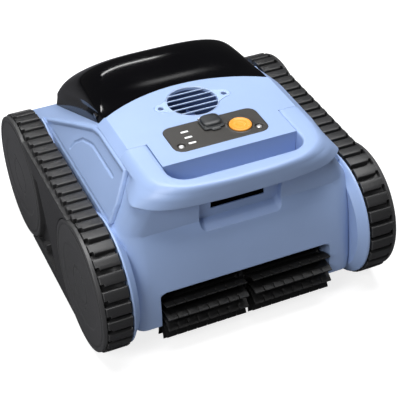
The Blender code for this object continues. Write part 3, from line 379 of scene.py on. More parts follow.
HANDLE_TOP = [(0, -182.0), (30, -181.5), (63, -177.8), (80, -173), (93, -165), (103, -155),
              (109, -141), (112, -125), (113, -108), (113, -80)]
HANDLE_BROW = [(0, -184.5), (32, -184), (68, -180.8), (88, -176), (103, -168.5), (115, -158),
               (122, -143), (124, -125), (124.6, -110), (124.6, -80)]
HANDLE_SHELF = [(0, -184.5), (32, -184), (68.4, -181.2), (89.4, -176.8), (105, -169.8),
                (117.6, -159.2), (124.6, -143.8), (125, -125), (120.7, -110), (120.7, -80)]
HANDLE_FOOT = [(0, -182.5), (35, -182.3), (74, -179.3), (98, -175.5), (117, -168.5), (131, -158),
               (138, -147.5), (134, -125), (129.6, -110), (129.6, -80)]
HANDLE_INSIDE = [(0, -162.5), (33, -162.5), (63, -162.5), (74, -160.6), (81.5, -156),
                 (86.3, -149.5), (88.5, -141.5), (88.7, -125), (88.7, -105), (88.7, -80)]
# Round the section, from the foot up the outer face, over the top and down the inner face: the
# two outlines mixed, the share of the second, the swelling outwards, and the height.
HANDLE_SECTION = [
    ("foot", "shelf", 0.00, -0.8, 211.0), ("foot", "shelf", 0.03, 0.0, 211.7),
    ("foot", "shelf", 0.10, 0.1, 212.8), ("foot", "shelf", 0.33, 0.2, 216.3),
    ("foot", "shelf", 0.66, 0.2, 221.5), ("foot", "shelf", 1.00, 0.0, 226.9),
    ("brow", "top", 0.00, 0.0, 229.3), ("brow", "top", 0.10, 0.3, 230.4),
    ("brow", "top", 0.30, 0.9, 232.3), ("brow", "top", 0.52, 1.3, 234.4),
    ("brow", "top", 0.72, 1.3, 236.3), ("brow", "top", 0.86, 0.8, 237.7),
    ("brow", "top", 0.96, -0.3, 238.6), ("brow", "top", 1.00, -1.6, 239.0),
    ("top", "inside", 0.40, 0.0, 239.0), ("top", "inside", 0.70, 0.0, 239.0),
    ("top", "inside", 0.88, 0.0, 238.9), ("top", "inside", 0.95, 0.0, 238.3),
    ("top", "inside", 0.99, 0.0, 237.2), ("top", "inside", 1.00, 0.0, 235.5),
    ("top", "inside", 1.00, 0.0, 212.0), ("top", "inside", 0.97, 0.0, 211.0),
]


def handle_rings():
    """Each outline is read at the same places from the left end to the right end. A section
    point is the mix of two outlines at its place, pushed along the line to the inside."""
    places = np.linspace(0, 18, 181)
    lines = {
        "top": HANDLE_TOP, "brow": HANDLE_BROW, "shelf": HANDLE_SHELF,
        "foot": HANDLE_FOOT, "inside": HANDLE_INSIDE,
    }
    read = {name: curve_through(both_sides(half), places) for name, half in lines.items()}
    outward = read["brow"] - read["inside"]
    outward /= np.linalg.norm(outward, axis=1, keepdims=True)
    columns = [
        np.column_stack([
            read[a] * (1 - share) + read[b] * share + outward * swell,
            np.full(len(places), height),
        ])
        for a, b, share, swell, height in HANDLE_SECTION
    ]
    return np.stack(columns, 1)


make_piece("grip", ringed(handle_rings()), "chassis", blue, ["carry_handle"])

# ---- Side fenders ------------------------------------------------------------------------------
# A sloping blue panel clipped over each shoulder. A raised bead follows its top and front edges,
# the field inside it is sunk, and a hooked groove is moulded into the field.


def walled(front, back):
    """Two grids of the same size as one closed solid: both faces and the rim between them."""
    rows, cols = front.shape[:2]
    a = np.arange(rows * cols).reshape(rows, cols)
    b = a + rows * cols
    rim = [np.concatenate([i[0], i[1:, -1], i[-1, -2::-1], i[-2:0:-1, 0]]) for i in (a, b)]
    sides = np.stack([rim[0], np.roll(rim[0], -1), np.roll(rim[1], -1), rim[1]], -1)
    faces = np.concatenate([squares(a), squares(b)[:, ::-1], sides])
    return np.concatenate([front.reshape(-1, 3), back.reshape(-1, 3)]), faces.tolist()


def step(x):
    """0 below 0, 1 above 1, and the smooth cubic between them."""
    x = np.clip(x, 0, 1)
    return x * x * (3 - 2 * x)


def line_distance(x, y, line):
    """Distance of each point from a broken line, the least over its straight parts."""
    line = np.asarray(line, float)
    found = np.full(np.shape(x), 1e9)
    for (ax, ay), (bx, by) in zip(line[:-1], line[1:]):
        run = (bx - ax) ** 2 + (by - ay) ** 2
        t = np.clip(((x - ax) * (bx - ax) + (y - ay) * (by - ay)) / run, 0, 1)
        found = np.minimum(found, np.hypot(x - ax - t * (bx - ax), y - ay - t * (by - ay)))
    return found


SIDES = (("left", -1), ("right", 1))
FENDER_LOW, FENDER_HIGH = 172.5, 229
FENDER_FRONT = [(-125, FENDER_LOW), (-119.5, 194), (-103, FENDER_HIGH)]
FENDER_TOP = [(-103, FENDER_HIGH), (-16, FENDER_HIGH), (2, 225.5), (53, 204), (112, 178)]
FENDER_GROOVE = [(33, 180), (30, 189), (16, 201), (0, 206), (-13, 209), (-82, 208)]


def fender(side):
    """Rows of constant height from the lower edge to the top. A point lies on the slope
    x = 125 + 33/59 (229 - z), moved along the slope's normal by the relief: a bead 1.3 mm high
    2.8 mm inside the top and front edges, a field 2 mm low beyond it, the groove 1.6 mm lower
    still, and a rim that falls away over 1.2 mm."""
    z = np.linspace(FENDER_LOW, FENDER_HIGH, 76)[:, None]
    share = np.linspace(0, 1, 220)[None, :]
    front_y, front_z = zip(*FENDER_FRONT)
    front = np.interp(z, front_z, front_y)
    rear = np.interp(z, [FENDER_LOW, 178, 204, 225.5, FENDER_HIGH], [116, 112, 53, 2, -16])
    y = front + (rear - front) * share
    z = z + 0 * y
    top = line_distance(y, z, FENDER_TOP)
    lead = line_distance(y, z, FENDER_FRONT)
    rim = np.minimum(top, lead)
    relief = 1.3 * np.exp(-(((rim - 2.8) / 1.9) ** 2)) - 2.0 * step((rim - 4.4) / 2.4)
    relief -= 1.6 * np.exp(-((line_distance(y, z, FENDER_GROOVE) / 1.7) ** 4))
    relief -= 1.0 * (1 - step(np.minimum(rim, z - FENDER_LOW) / 1.2)) ** 2
    slope = 125 + (FENDER_HIGH - z) * 33 / 59
    outer = np.stack([side * (slope + 0.873 * relief), y, z + 0.488 * relief], -1)
    inner = np.stack([side * (slope - 5.1), y, z], -1)
    return walled(outer, inner)


for word, side in SIDES:
    make_piece(f"fender_panel_{word}", fender(side), "chassis", blue,
               [f"side_fender_{word}"])

# ---- Smoked lid --------------------------------------------------------------------------------
# One tinted polycarbonate moulding over the filter basket, hinged at the back by two knuckles.
# Its crown is a full curve; below a crease the sides drop steeply to the seat.
LID_HALF, LID_REAR, LID_WALL = 118.5, 203, 3.0
LID_ARC_Y, LID_ARC_RADIUS, LID_ARC_END = -180.2, 208.2, 113
LID_BAND, LID_POWER = 0.92, 3.2
LID_CREST = [(-12, 234), (0, 235.5), (28, 239.8), (50, 245.5), (70, 249.5), (90, 251),
             (106, 249.2), (122, 240.5), (140, 228), (160, 212), (178, 194), (192, 176),
             (203, 158)]
LID_CREASE = [(-12, 233), (17, 232), (49, 222), (90, 206), (134, 189), (166, 174), (190, 157),
              (203, 145)]


def smooth_read(points, x):
    """Value at x of the smooth curve through points whose first numbers rise."""
    points = np.asarray(points, float)
    fine = curve_through(points, np.linspace(0, len(points) - 1, 600))
    return np.interp(x, fine[:, 0], fine[:, 1])


def lid_surface(share, across, inset):
    """share runs from the front arc to the back edge. across runs from -1 to 1: beyond LID_BAND
    it is the flat band between seat and crease, and the rest is a superellipse from crease to
    crest. inset moves the whole surface inwards."""
    half = LID_HALF - inset
    turn = np.clip(np.abs(across) / LID_BAND, 0, 1)
    band = np.clip((np.abs(across) - LID_BAND) / (1 - LID_BAND), 0, 1)
    angle = turn * math.pi / 2
    flat = np.sin(angle) ** (2 / LID_POWER)
    high = np.maximum(np.cos(angle), 0) ** (2 / LID_POWER)
    x = np.sign(across) * ((half - 3.5) * flat + 3.5 * band)
    front = LID_ARC_Y + np.sqrt(LID_ARC_RADIUS**2 - np.minimum(np.abs(x), LID_ARC_END) ** 2)
    front = front + 14 * step((np.abs(x) - LID_ARC_END) / 5.5) + inset
    rear = LID_REAR - inset - 10 * step((np.abs(x) - half + 12) / 12) ** 2
    y = front + (rear - front) * share
    seat = 227.6 - 0.455 * y - 1
    crest = smooth_read(LID_CREST, y) - inset
    crease = np.maximum(np.minimum(smooth_read(LID_CREASE, y), crest) - inset, seat)
    z = crease + (crest - crease) * high
    z = z * (1 - band) + seat * band
    return np.stack([x, y, z], -1), seat


def lid():
    """The lid's outer surface, with a wall at the front and the back that drops to the seat
    plane, and the same surface moved in by the wall's thickness."""
    across = np.concatenate([
        -np.linspace(1, LID_BAND, 7)[:-1], np.linspace(-LID_BAND, LID_BAND, 121),
        np.linspace(LID_BAND, 1, 7)[1:],
    ])[None, :]
    even = np.linspace(0, 1, 97)[:, None]
    share = step(even) * 0.5 + even * 0.5
    skins = []
    for inset in (0.0, LID_WALL):
        skin, seat = lid_surface(share + 0 * across, across + 0 * share, inset)
        rows = [skin]
        for end, away in ((0, -1), (-1, 1)):
            edge, foot = skin[end].copy(), skin[end].copy()
            edge[:, 2] -= 0.9
            edge[:, 1] += 0.35 * away
            foot[:, 2] = np.minimum(seat[end], edge[:, 2] - 0.2)
            foot[:, 1] += 0.35 * away
            drop = [edge + (foot - edge) * part for part in (0.0, 0.5, 1.0)]
            rows = [np.array(drop[::-1]), *rows] if end == 0 else [*rows, np.array(drop)]
        skins.append(np.concatenate(rows))
    return walled(*skins)


smoke = moulded("smoked_lid", linear(6, 6, 8), linear(60, 64, 72), 0.10, cloud=0.10,
                wear_and_highlight=0.12, grain=(700, 0.02), edge=0.0006)
smoke.node_tree.nodes["Principled BSDF"].inputs["Specular IOR Level"].default_value = 0.22
make_piece("lid_skin", lid(), "lid", smoke, ["lid_cover"], sharp=50)

# ---- Tracks ------------------------------------------------------------------------------------
# An endless rubber belt round two wheels on each side, with moulded bars across it. Each bar is
# notched at its outer end, and its edges are painted pale grey: partly wear, partly a painted
# highlight.
WHEEL_Y, WHEEL_Z = 121.6, 86.9
BELT_ROOT, BELT_BARS = 79.9, 53
BAR_START = -6.71


def belt_frame(travel):
    """Where a point of the belt is after travel in mm along its root line, counted from the
    middle of the lower run towards +y: along that run, up round the rear wheel, back along the
    top and down round the front wheel. Gives the turning centre's y and the outward angle."""
    arc = math.pi * BELT_ROOT
    length = 4 * WHEEL_Y + 2 * arc
    s = np.mod(np.asarray(travel, float), length)
    bounds = np.cumsum([WHEEL_Y, arc, 2 * WHEEL_Y, arc])
    centre = np.select(
        [s < bounds[0], s < bounds[1], s < bounds[2], s < bounds[3]],
        [s, WHEEL_Y, WHEEL_Y - (s - bounds[1]), -WHEEL_Y], s - length,
    )
    angle = np.select(
        [s < bounds[0], s < bounds[1], s < bounds[2], s < bounds[3]],
        [0, (s - bounds[0]) / BELT_ROOT, math.pi, math.pi + (s - bounds[2]) / BELT_ROOT],
        2 * math.pi,
    )
    return centre, angle


def round_belt(centre, angle, along, radius):
    """Point at a radius from the turning centre, moved along the belt by along. The outward
    direction is straight down at angle 0 and turns towards +y."""
    out_y, out_z = np.sin(angle), -np.cos(angle)
    y = centre + radius * out_y + along * np.cos(angle)
    z = WHEEL_Z + radius * out_z + along * np.sin(angle)
    return y, z


def belt_band(side):
    """The belt's rectangle with rounded corners carried round the closed root line."""
    travel = np.linspace(0, 4 * WHEEL_Y + 2 * math.pi * BELT_ROOT, 264, endpoint=False)
    centre, angle = belt_frame(travel)
    section = [(163.2, 75.6), (163.2, 79.2), (163.9, 79.9), (171, 79.9), (172, 79.2),
               (185.6, 79.2), (186.6, 79.9), (193.8, 79.9), (194.5, 79.2), (194.5, 75.6),
               (193.9, 75.0), (163.8, 75.0)]
    rings = []
    for x, radius in section:
        y, z = round_belt(centre, angle, 0, radius)
        rings.append(np.stack([np.full_like(y, side * x), y, z], -1))
    return ringed(np.stack(rings, 1), closed=True)


def belt_bars(side):
    """All bars of one belt. The section is a flat-topped block with small chamfers, carried
    across the belt; over the last 5 mm its rear flank steps in for the notch."""
    pitch = (4 * WHEEL_Y + 2 * math.pi * BELT_ROOT) / BELT_BARS
    centre, angle = belt_frame(BAR_START + pitch * np.arange(BELT_BARS))
    along = np.array([-7.1, -7.0, -6.6, -6.1, -2.0, 2.0, 6.1, 6.6, 7.0, 7.1])
    height = np.array([-0.9, 5.9, 6.7, 7.0, 7.0, 7.0, 7.0, 6.7, 5.9, -0.9])
    x = np.array([163.3, 163.5, 164.2, 189.2, 189.7, 193.7, 194.4])
    notch = np.array([0, 0, 0, 0, 3.4, 3.4, 3.6])
    low = np.array([-1.0, -0.3, 0, 0, 0, 0, -0.8])
    a = np.minimum(along[None, :], 7.1 - notch[:, None])
    h = np.minimum(height[None, :] + 0 * a, 7.0 + low[:, None])
    y, z = round_belt(
        centre[:, None, None], angle[:, None, None], a[None], BELT_ROOT + h[None]
    )
    rings = np.stack([side * x[None, :, None] + 0 * y, y, z], -1)
    return together([ringed(bar) for bar in rings])


def together(parts):
    """Several sets of points and faces as one set."""
    counts = np.cumsum([0] + [len(points) for points, _ in parts])
    faces = [
        [corner + start for corner in face]
        for start, (_, made) in zip(counts, parts) for face in made
    ]
    return np.concatenate([points for points, _ in parts]), faces


# The light grey edge colour is partly wear and partly a painted highlight, meant for the edges of
# the track bars.
rubber = moulded("track_rubber", linear(42, 42, 43), linear(160, 160, 160), 0.40, cloud=0.16,
                 wear_and_highlight=0.5, grain=(900, 0.25), edge=0.0010)
for word, side in SIDES:
    make_piece(f"belt_{word}", belt_band(side), "chassis", rubber,
               [f"track_{word}"])
    make_piece(f"belt_bars_{word}", belt_bars(side), "chassis", rubber, sharp=40)

# ---- Wheel caps --------------------------------------------------------------------------------
# A thin grey disc closes each wheel from outside and turns with it. It is moulded with two fine
# rings, a shallow oval field, a short slot and a small round hole.


def turned_disc(side, y0, z0, relief, rim=85.0, face=200.0, back=195.1):
    """Polar grid about (y0, z0). The face lies at x = face plus the relief at that point, rolls
    off over the last 1.6 mm of radius, and is closed by a flat back."""
    radius = np.concatenate([np.linspace(0, rim - 2, 84), rim - 2 + 2 * np.linspace(0, 1, 8)[1:]])
    turn = np.linspace(0, 2 * math.pi, 240, endpoint=False)
    r, t = np.meshgrid(radius, turn, indexing="ij")
    y, z = y0 + r * np.cos(t), z0 + r * np.sin(t)
    roll = 1.6 - np.sqrt(np.maximum(1.6**2 - np.maximum(r - rim + 1.6, 0) ** 2, 0))
    x = face + relief(y, z, r) - roll
    front = np.stack([side * x, y, z], -1)
    rings = np.stack([front[-1], front[-1]])
    rings[:, :, 0] = side * back
    rings[1, :, 1:] = (y0, z0)
    return ringed_turn(np.concatenate([front, rings]))


def ringed_turn(rings):
    """Rings round an axis whose first and last ring are single points on it."""
    count, size = rings.shape[:2]
    index = np.arange(count * size).reshape(count, size)
    return rings.reshape(-1, 3), squares(np.hstack([index, index[:, :1]])).tolist()


def groove(distance, width, depth):
    """A round-bottomed groove: depth times the bell curve of the distance over the width."""
    return -depth * np.exp(-((distance / width) ** 2))


CAP_MARKS = {  # wheel: (slot middle y, z), (hole y, z)
    "rear": ((135, 111), (106, 61)),
    "front": ((-110, 107), (-137, 60)),
}
cap_grey = moulded("cap_grey", linear(64, 64, 65), linear(132, 132, 134), 0.36, cloud=0.10,
                   wear_and_highlight=0.2, grain=(1100, 0.3), edge=0.0008)
for end, y0 in (("rear", WHEEL_Y), ("front", -WHEEL_Y)):
    slot_at, hole_at = CAP_MARKS[end]

    def cap_relief(y, z, r):
        """Two fine rings, an oval field 0.9 mm low, the slot and the hole."""
        relief = groove(r - 78.5, 1.1, 1.6) + groove(r - 24, 0.9, 0.8)
        oval = np.hypot((y - y0) / 60, (z - WHEEL_Z) / 52)
        relief = relief - 0.9 * (1 - step((oval - 0.97) / 0.05))
        slot_line = [(slot_at[0] - 3, slot_at[1] - 1), (slot_at[0] + 3, slot_at[1] + 1)]
        relief = relief - 1.8 * (1 - step((line_distance(y, z, slot_line) - 1.1) / 0.6))
        hole = np.hypot(y - hole_at[0], z - hole_at[1])
        return relief - 1.8 * (1 - step((hole - 1.3) / 0.6))

    for word, side in SIDES:
        make_piece(f"cap_disc_{end}_{word}", turned_disc(side, y0, WHEEL_Z, cap_relief),
                   f"{end}_{word}_wheel", cap_grey,
                   [f"wheel_cap_{end}_{word}"])

# ---- Side covers -------------------------------------------------------------------------------
# A grey plate between the two caps on each side. It is waisted to clear both discs, and a deep
# pocket behind the rear disc shows the rib and the post that carry the plate.
COVER_LOW, COVER_HIGH, COVER_ARC = 7.6, 166.2, 85.7


def polygon_inside(y, z, corners):
    """Distance inside a convex outline: the least signed distance to its sides."""
    corners = np.asarray(corners, float)
    found = np.full(np.shape(y), 1e9)
    for (ay, az), (by, bz) in zip(corners, np.roll(corners, -1, axis=0)):
        length = math.hypot(by - ay, bz - az)
        found = np.minimum(found, ((by - ay) * (z - az) - (bz - az) * (y - ay)) / length)
    return found


def side_cover(side):
    """Rows of constant height. Each row runs between the two arcs of radius COVER_ARC about the
    wheel axles. The pocket is the part beyond a slanting line, outside the rear disc, and is
    7 mm deep."""
    z = np.linspace(COVER_LOW, COVER_HIGH, 200)[:, None]
    share = np.linspace(-1, 1, 150)[None, :]
    half = WHEEL_Y - np.sqrt(COVER_ARC**2 - (z - WHEEL_Z) ** 2)
    y = share * half
    z = z + 0 * y
    rear = np.hypot(y - WHEEL_Y, z - WHEEL_Z) - 87.3
    field = polygon_inside(y, z, [(-27, 24), (62, 24), (62, 140), (30, 140)])
    pocket = step(np.minimum(rear, field) / 1.1)
    post = np.maximum(np.abs(y - 23.5) - 4.5, np.abs(z - 37.5) - 4.5)
    pocket = pocket * step(post / 0.9)
    edge = np.minimum(half - np.abs(y), np.minimum(z - COVER_LOW, COVER_HIGH - z))
    x = 199.8 - 7.0 * pocket - 0.9 * (1 - step(edge / 1.2)) ** 2
    outer = np.stack([side * x, y, z], -1)
    inner = np.stack([side * (191.6 + 0 * x), y, z], -1)
    return walled(outer, inner)


cover_grey = moulded("cover_grey", linear(48, 48, 49), linear(116, 116, 118), 0.42, cloud=0.10,
                     wear_and_highlight=0.2, grain=(1100, 0.3), edge=0.0010)
for word, side in SIDES:
    make_piece(f"cover_plate_{word}", side_cover(side), "chassis", cover_grey,
               [f"side_cover_{word}"])

# ---- Outlet grille -----------------------------------------------------------------------------
# A pale blue ring with two ears, screwed over the pump outlet from above. Five slim slats cross
# it, and the duct, impeller and screws below are dark navy.
GRILLE_Y, GRILLE_TOP = -16, 239.3
GRILLE_OPENING, GRILLE_RIM = 32.4, 34
EAR_X, EAR_RADIUS = 43.5, 8.5
SLAT_PITCH, SLAT_REACH = 2 * GRILLE_OPENING / 6, 33.0


def grille_outline():
    """The rim's two arcs and the two ears' arcs joined by straight lines, as closely spaced points
    in the order of their angle from the centre."""
    def arc(cx, radius, first, last):
        turn = np.radians(np.linspace(first, last, 24))
        return np.column_stack([cx + radius * np.cos(turn), radius * np.sin(turn)])
    corners = np.concatenate([
        arc(EAR_X, EAR_RADIUS, -95, 95), arc(0, GRILLE_RIM, 25, 155),
        arc(-EAR_X, EAR_RADIUS, 85, 275), arc(0, GRILLE_RIM, 205, 335),
    ])
    closed = np.vstack([corners, corners[:1]])
    places = np.linspace(0, len(corners), 2400, endpoint=False)
    return np.column_stack([np.interp(places, np.arange(len(closed)), closed[:, i])
                            for i in (0, 1)])


def grille_ring():
    """Polar grid from the opening out to the outline. The top is sunk over the two screws, has a
    low bead along the outline and rolls off at both rims. The same grid lower down closes it."""
    outline = grille_outline()
    bearing = np.arctan2(outline[:, 1], outline[:, 0])
    order = np.argsort(bearing)
    turn = np.linspace(-math.pi, math.pi, 360, endpoint=False)
    reach = np.interp(turn, bearing[order], np.hypot(*outline[order].T), period=2 * math.pi)
    share = np.concatenate([[0, 0.03, 0.08], np.linspace(0.14, 0.86, 22), [0.92, 0.97, 1]])
    width = reach[None, :] - GRILLE_OPENING
    radius = GRILLE_OPENING + width * share[:, None]
    x, y = radius * np.cos(turn), radius * np.sin(turn)
    edge = np.minimum(radius - GRILLE_OPENING, width * (1 - share[:, None]))
    ear = np.hypot(np.abs(x) - EAR_X, y)
    z = GRILLE_TOP + 0.35 * np.exp(-(((reach[None, :] - radius) - 1.3) ** 2) / 0.6)
    z = z - 0.8 * (1 - step(edge / 0.9)) ** 2 - 3.2 * (1 - step((ear - 3.3) / 0.5))
    top = np.stack([x, y + GRILLE_Y, z], -1)
    low = np.stack([x, y + GRILLE_Y, 0 * z + 235.0], -1)
    index = np.arange(2 * top[..., 0].size).reshape(2, *top.shape[:2])
    index = np.concatenate([index, index[:, :, :1]], 2)
    rims = [np.stack([index[0, row], index[1, row]]) for row in (0, -1)]
    faces = [squares(i).tolist() for i in (index[0], index[1], *rims)]
    return np.concatenate([top.reshape(-1, 3), low.reshape(-1, 3)]), sum(faces, [])


def slats():
    """Five bars along X. The section is 1.4 mm wide with a rounded top, and each bar ends inside
    the ring, on a circle of radius SLAT_REACH."""
    bars = []
    for number in (-2, -1, 0, 1, 2):
        offset = number * SLAT_PITCH
        end = math.sqrt(SLAT_REACH**2 - offset**2)
        x = np.linspace(-end, end, 24)
        section = np.array([(-0.7, 237.4), (-0.7, 238.8), (-0.4, 239.15), (0, 239.25),
                            (0.4, 239.15), (0.7, 238.8), (0.7, 237.4)])
        y = GRILLE_Y + offset + section[:, 0][None, :] + 0 * x[:, None]
        z = section[:, 1][None, :] + 0 * y
        bars.append(ringed(np.stack([x[:, None] + 0 * y, y, z], -1)))
    return together(bars)


# Its edges are painted near white: mostly a painted highlight along the ring, the ears and the
# slat tops, with some wear.
pale_blue = moulded("pale_blue_trim", linear(164, 188, 226), linear(236, 246, 255), 0.34,
                    wear_and_highlight=0.9, edge=0.0010)
navy = moulded("navy_plastic", linear(58, 76, 118), linear(92, 110, 148), 0.42, cloud=0.12)
make_piece("grille_ring", grille_ring(), "chassis", pale_blue,
           ["outlet_grille"])
make_piece("grille_slats", slats(), "chassis", pale_blue)
dress(navy, "outlet_duct", "impeller", "grille_screw_left", "grille_screw_right", "pump_motor")

# ---- Control panel -----------------------------------------------------------------------------
# A warm grey plate let into the deck, held by two screws in dark counterbores. It carries the
# orange power button, three charge lights and a soft cap over the charging socket.
PANEL_X, PANEL_FRONT, PANEL_REAR, PANEL_TOP = 63.0, -112.5, -58.6, 239.5
BUTTON_AT = (32.0, -88.6)
PANEL_SCREWS = [(-52.0, -100.2), (52.0, -100.2)]
SOCKET_Y = -72.5


def panel_plate():
    """Grid over the plate's rounded rectangle, each row drawn in at the corners. The top is
    lowered round the button and the socket, bored at the screws, and rolls off at the rim."""
    corner = 12.0
    v = PANEL_FRONT + (PANEL_REAR - PANEL_FRONT) * (
        0.5 - 0.5 * np.cos(np.linspace(0, math.pi, 110)))[:, None]
    deep = np.maximum(corner - np.minimum(v - PANEL_FRONT, PANEL_REAR - v), 0)
    half = PANEL_X - corner + np.sqrt(np.maximum(corner**2 - deep**2, 0))
    x = half * np.linspace(-1, 1, 240)[None, :]
    y = v + 0 * x
    inset = np.hypot(np.maximum(np.abs(x) - PANEL_X + corner, 0),
                     np.maximum(np.maximum(PANEL_FRONT + corner - y, y - PANEL_REAR + corner), 0))
    edge = np.where(inset > 0, corner - inset,
                    np.minimum(PANEL_X - np.abs(x), np.minimum(y - PANEL_FRONT, PANEL_REAR - y)))
    z = PANEL_TOP + 0 * x - 0.9 * (1 - step(edge / 1.3)) ** 2
    button = np.hypot(x - BUTTON_AT[0], y - BUTTON_AT[1])
    z = z - 3.0 * (1 - step((button - 14.9) / 0.5)) + 0.5 * np.exp(-((button - 16.6) / 1.0) ** 2)
    for sx, sy in PANEL_SCREWS:
        z = z - 2.6 * (1 - step((np.hypot(x - sx, y - sy) - 4.9) / 0.5))
    socket = np.hypot(x, y - SOCKET_Y)
    z = z - 2.0 * (1 - step((socket - 9.3) / 0.5))
    top = np.stack([x, y, z], -1)
    low = np.stack([x, y, 0 * z + 235.6], -1)
    return walled(top, low)


def round_button():
    """Profile turned about the button's axis: a rounded rim, a step and a dished centre with one
    raised ring."""
    profile = np.array([(0, 239.7), (3.0, 239.75), (5.4, 240.0), (6.0, 240.25), (6.8, 240.2),
                        (7.6, 239.95), (10.4, 240.1), (11.4, 240.5), (12.2, 240.95),
                        (13.1, 241.0), (13.8, 240.7), (14.2, 240.1), (14.3, 239.2),
                        (14.3, 238.8), (0, 238.8)])
    turn = np.linspace(0, 2 * math.pi, 96, endpoint=False)
    r, z = profile[:, 0][:, None], profile[:, 1][:, None]
    x, y = BUTTON_AT[0] + r * np.cos(turn), BUTTON_AT[1] + r * np.sin(turn)
    return ringed_turn(np.stack([x, y, z + 0 * x], -1))


def soft_block(lo, hi, power, top_share=1.0):
    """A pillow between two corners: a superellipsoid of the given power. Its upper half is drawn
    in towards the hinge side by top_share."""
    lat = np.linspace(-math.pi / 2, math.pi / 2, 33)[:, None]
    turn = np.linspace(0, 2 * math.pi, 72, endpoint=False)[None, :]

    def rounded(c):
        return np.sign(c) * np.abs(c) ** (2 / power)
    unit = np.stack([rounded(np.cos(lat)) * rounded(np.cos(turn)),
                     rounded(np.cos(lat)) * rounded(np.sin(turn)),
                     rounded(np.sin(lat)) + 0 * turn], -1)
    centre, half = (np.add(lo, hi)) / 2, (np.subtract(hi, lo)) / 2
    points = centre + unit * half
    rise = np.maximum(unit[..., 2], 0)
    points[..., 1] += rise * (1 - top_share) * half[1]
    return ringed_turn(points)


def light_bar(y):
    """A stadium-ended lens: the pillow shape, nearly square in section."""
    return soft_block((-42.4, y - 1.7, 236.5), (-32.0, y + 1.7, 239.85), 6)


panel_grey = moulded("panel_plastic", linear(56, 54, 52), linear(128, 124, 118), 0.42,
                     cloud=0.08, wear_and_highlight=0.5, grain=(1500, 0.25))
# The pale yellow edge colour of the orange is partly wear and partly a painted highlight round the
# button's rim.
orange = moulded("orange_plastic", linear(238, 158, 58), linear(255, 205, 120), 0.34, wear_and_highlight=0.5,
                 edge=0.0012)
lens = moulded("white_lens", linear(244, 245, 246), linear(255, 255, 255), 0.22, wear_and_highlight=0.1)
cap_rubber = moulded("port_cap_rubber", linear(44, 46, 48), linear(105, 108, 110), 0.38,
                     cloud=0.12, wear_and_highlight=0.5, edge=0.0016)
steel = moulded("steel", linear(214, 214, 216), linear(250, 250, 250), 0.28, wear_and_highlight=0.3)
steel.node_tree.nodes["Principled BSDF"].inputs["Metallic"].default_value = 0.6
make_piece("panel_plate", panel_plate(), "chassis", panel_grey,
           ["control_panel"])
make_piece("button_dish", round_button(), "power_button", orange,
           ["power_button"])
for number, y in enumerate((-75.0, -87.2, -99.5), 1):
    make_piece(f"light_bar_{number}", light_bar(y), "chassis", lens,
               [f"charge_light_{number}"])
port_flap = together([soft_block((-14.2, -85.0, 239.7), (14.2, -60.0, 242.3), 7),
                      soft_block((-12.6, -81.5, 240.4), (12.6, -60.3, 246.6), 3.4, 0.80),
                      soft_block((-5.0, -88.2, 239.8), (7.0, -82.0, 241.6), 5)])
make_piece("cap_pillow", port_flap, "port_cap", cap_rubber, ["port_cap"])
dress(steel, "panel_screw_left", "panel_screw_right")

# ---- Split brush -------------------------------------------------------------------------------
# Two PVC rollers on one line, one driven from each side. Every roller has sixteen thin blades
# that lean back towards their tips and are slit into short tongues.
BRUSH_Y, BRUSH_Z = -152, 50


def brush_blades(side):
    """Sixteen blades. A blade is a grid of length across and share from root to tip; its tip line
    drops at each slit, it leans back with the square of the share and thins from 2.8 to 1.3 mm."""
    tongues = np.linspace(4.0, 114.0, 9)
    across = np.sort(np.concatenate([tongues[:-1] + 0.55, tongues[1:] - 0.55,
                                     tongues[:-1] + 0.5, tongues[1:] - 0.5]))
    in_slit = np.min(np.abs(across[:, None] - tongues[None, 1:-1]), axis=1) < 0.52
    tip = np.where(in_slit, 40.0, 46.3)
    share = np.linspace(0, 1, 7)
    blades = []
    for blade in range(16):
        radius = 13.5 + (tip[None, :] - 13.5) * share[:, None]
        reach = (radius - 13.5) / 33
        angle = 2 * math.pi * blade / 16 + 0.20 * reach**2
        skins = []
        for way in (-1, 1):
            half = way * (1.4 - 0.75 * reach)
            y = BRUSH_Y + radius * np.cos(angle) - half * np.sin(angle)
            z = BRUSH_Z + radius * np.sin(angle) + half * np.cos(angle)
            skins.append(np.stack([side * across[None, :] + 0 * y, y, z], -1))
        blades.append(walled(*skins))
    return together(blades)


def turned(profile, side, y0, z0, count):
    """A closed profile of (radius, x) points turned about the line along X through y0, z0."""
    turn = np.linspace(0, 2 * math.pi, count, endpoint=False)[:, None]
    r, x = np.transpose(profile)[:, None, :]
    y, z = y0 + r * np.cos(turn), z0 + r * np.sin(turn)
    return ringed(np.stack([side * x + 0 * y, y, z], -1), closed=True)


def roller_tube(side):
    """The sleeve under the blades, with a rolled collar at both ends."""
    profile = [(12.3, 3.2), (16.6, 3.2), (17.2, 3.9), (17.2, 5.6), (16.4, 6.4), (15.8, 7.0),
               (15.8, 110.6), (16.4, 111.3), (17.2, 112.1), (17.2, 113.8), (16.6, 114.5),
               (12.3, 114.5)]
    return turned(profile, side, BRUSH_Y, BRUSH_Z, 48)


pvc = moulded("brush_pvc", linear(13, 13, 14), linear(96, 94, 90), 0.5, cloud=0.14, wear_and_highlight=0.35,
              grain=(1000, 0.2), edge=0.0005)
for word, side in SIDES:
    make_piece(f"roller_{word}", roller_tube(side), f"{word}_brush", pvc,
               [f"brush_sleeve_{word}"])
    make_piece(f"blades_{word}", brush_blades(side), f"{word}_brush", pvc)

# ---- Lid fittings ------------------------------------------------------------------------------
# Two knuckles under the lid's back edge turn on steel pins held by the casing. A black rubber
# cord seals the seat, and a catch at each front tip snaps over the casing.
HINGE_Y, HINGE_Z = 197.5, 129.5


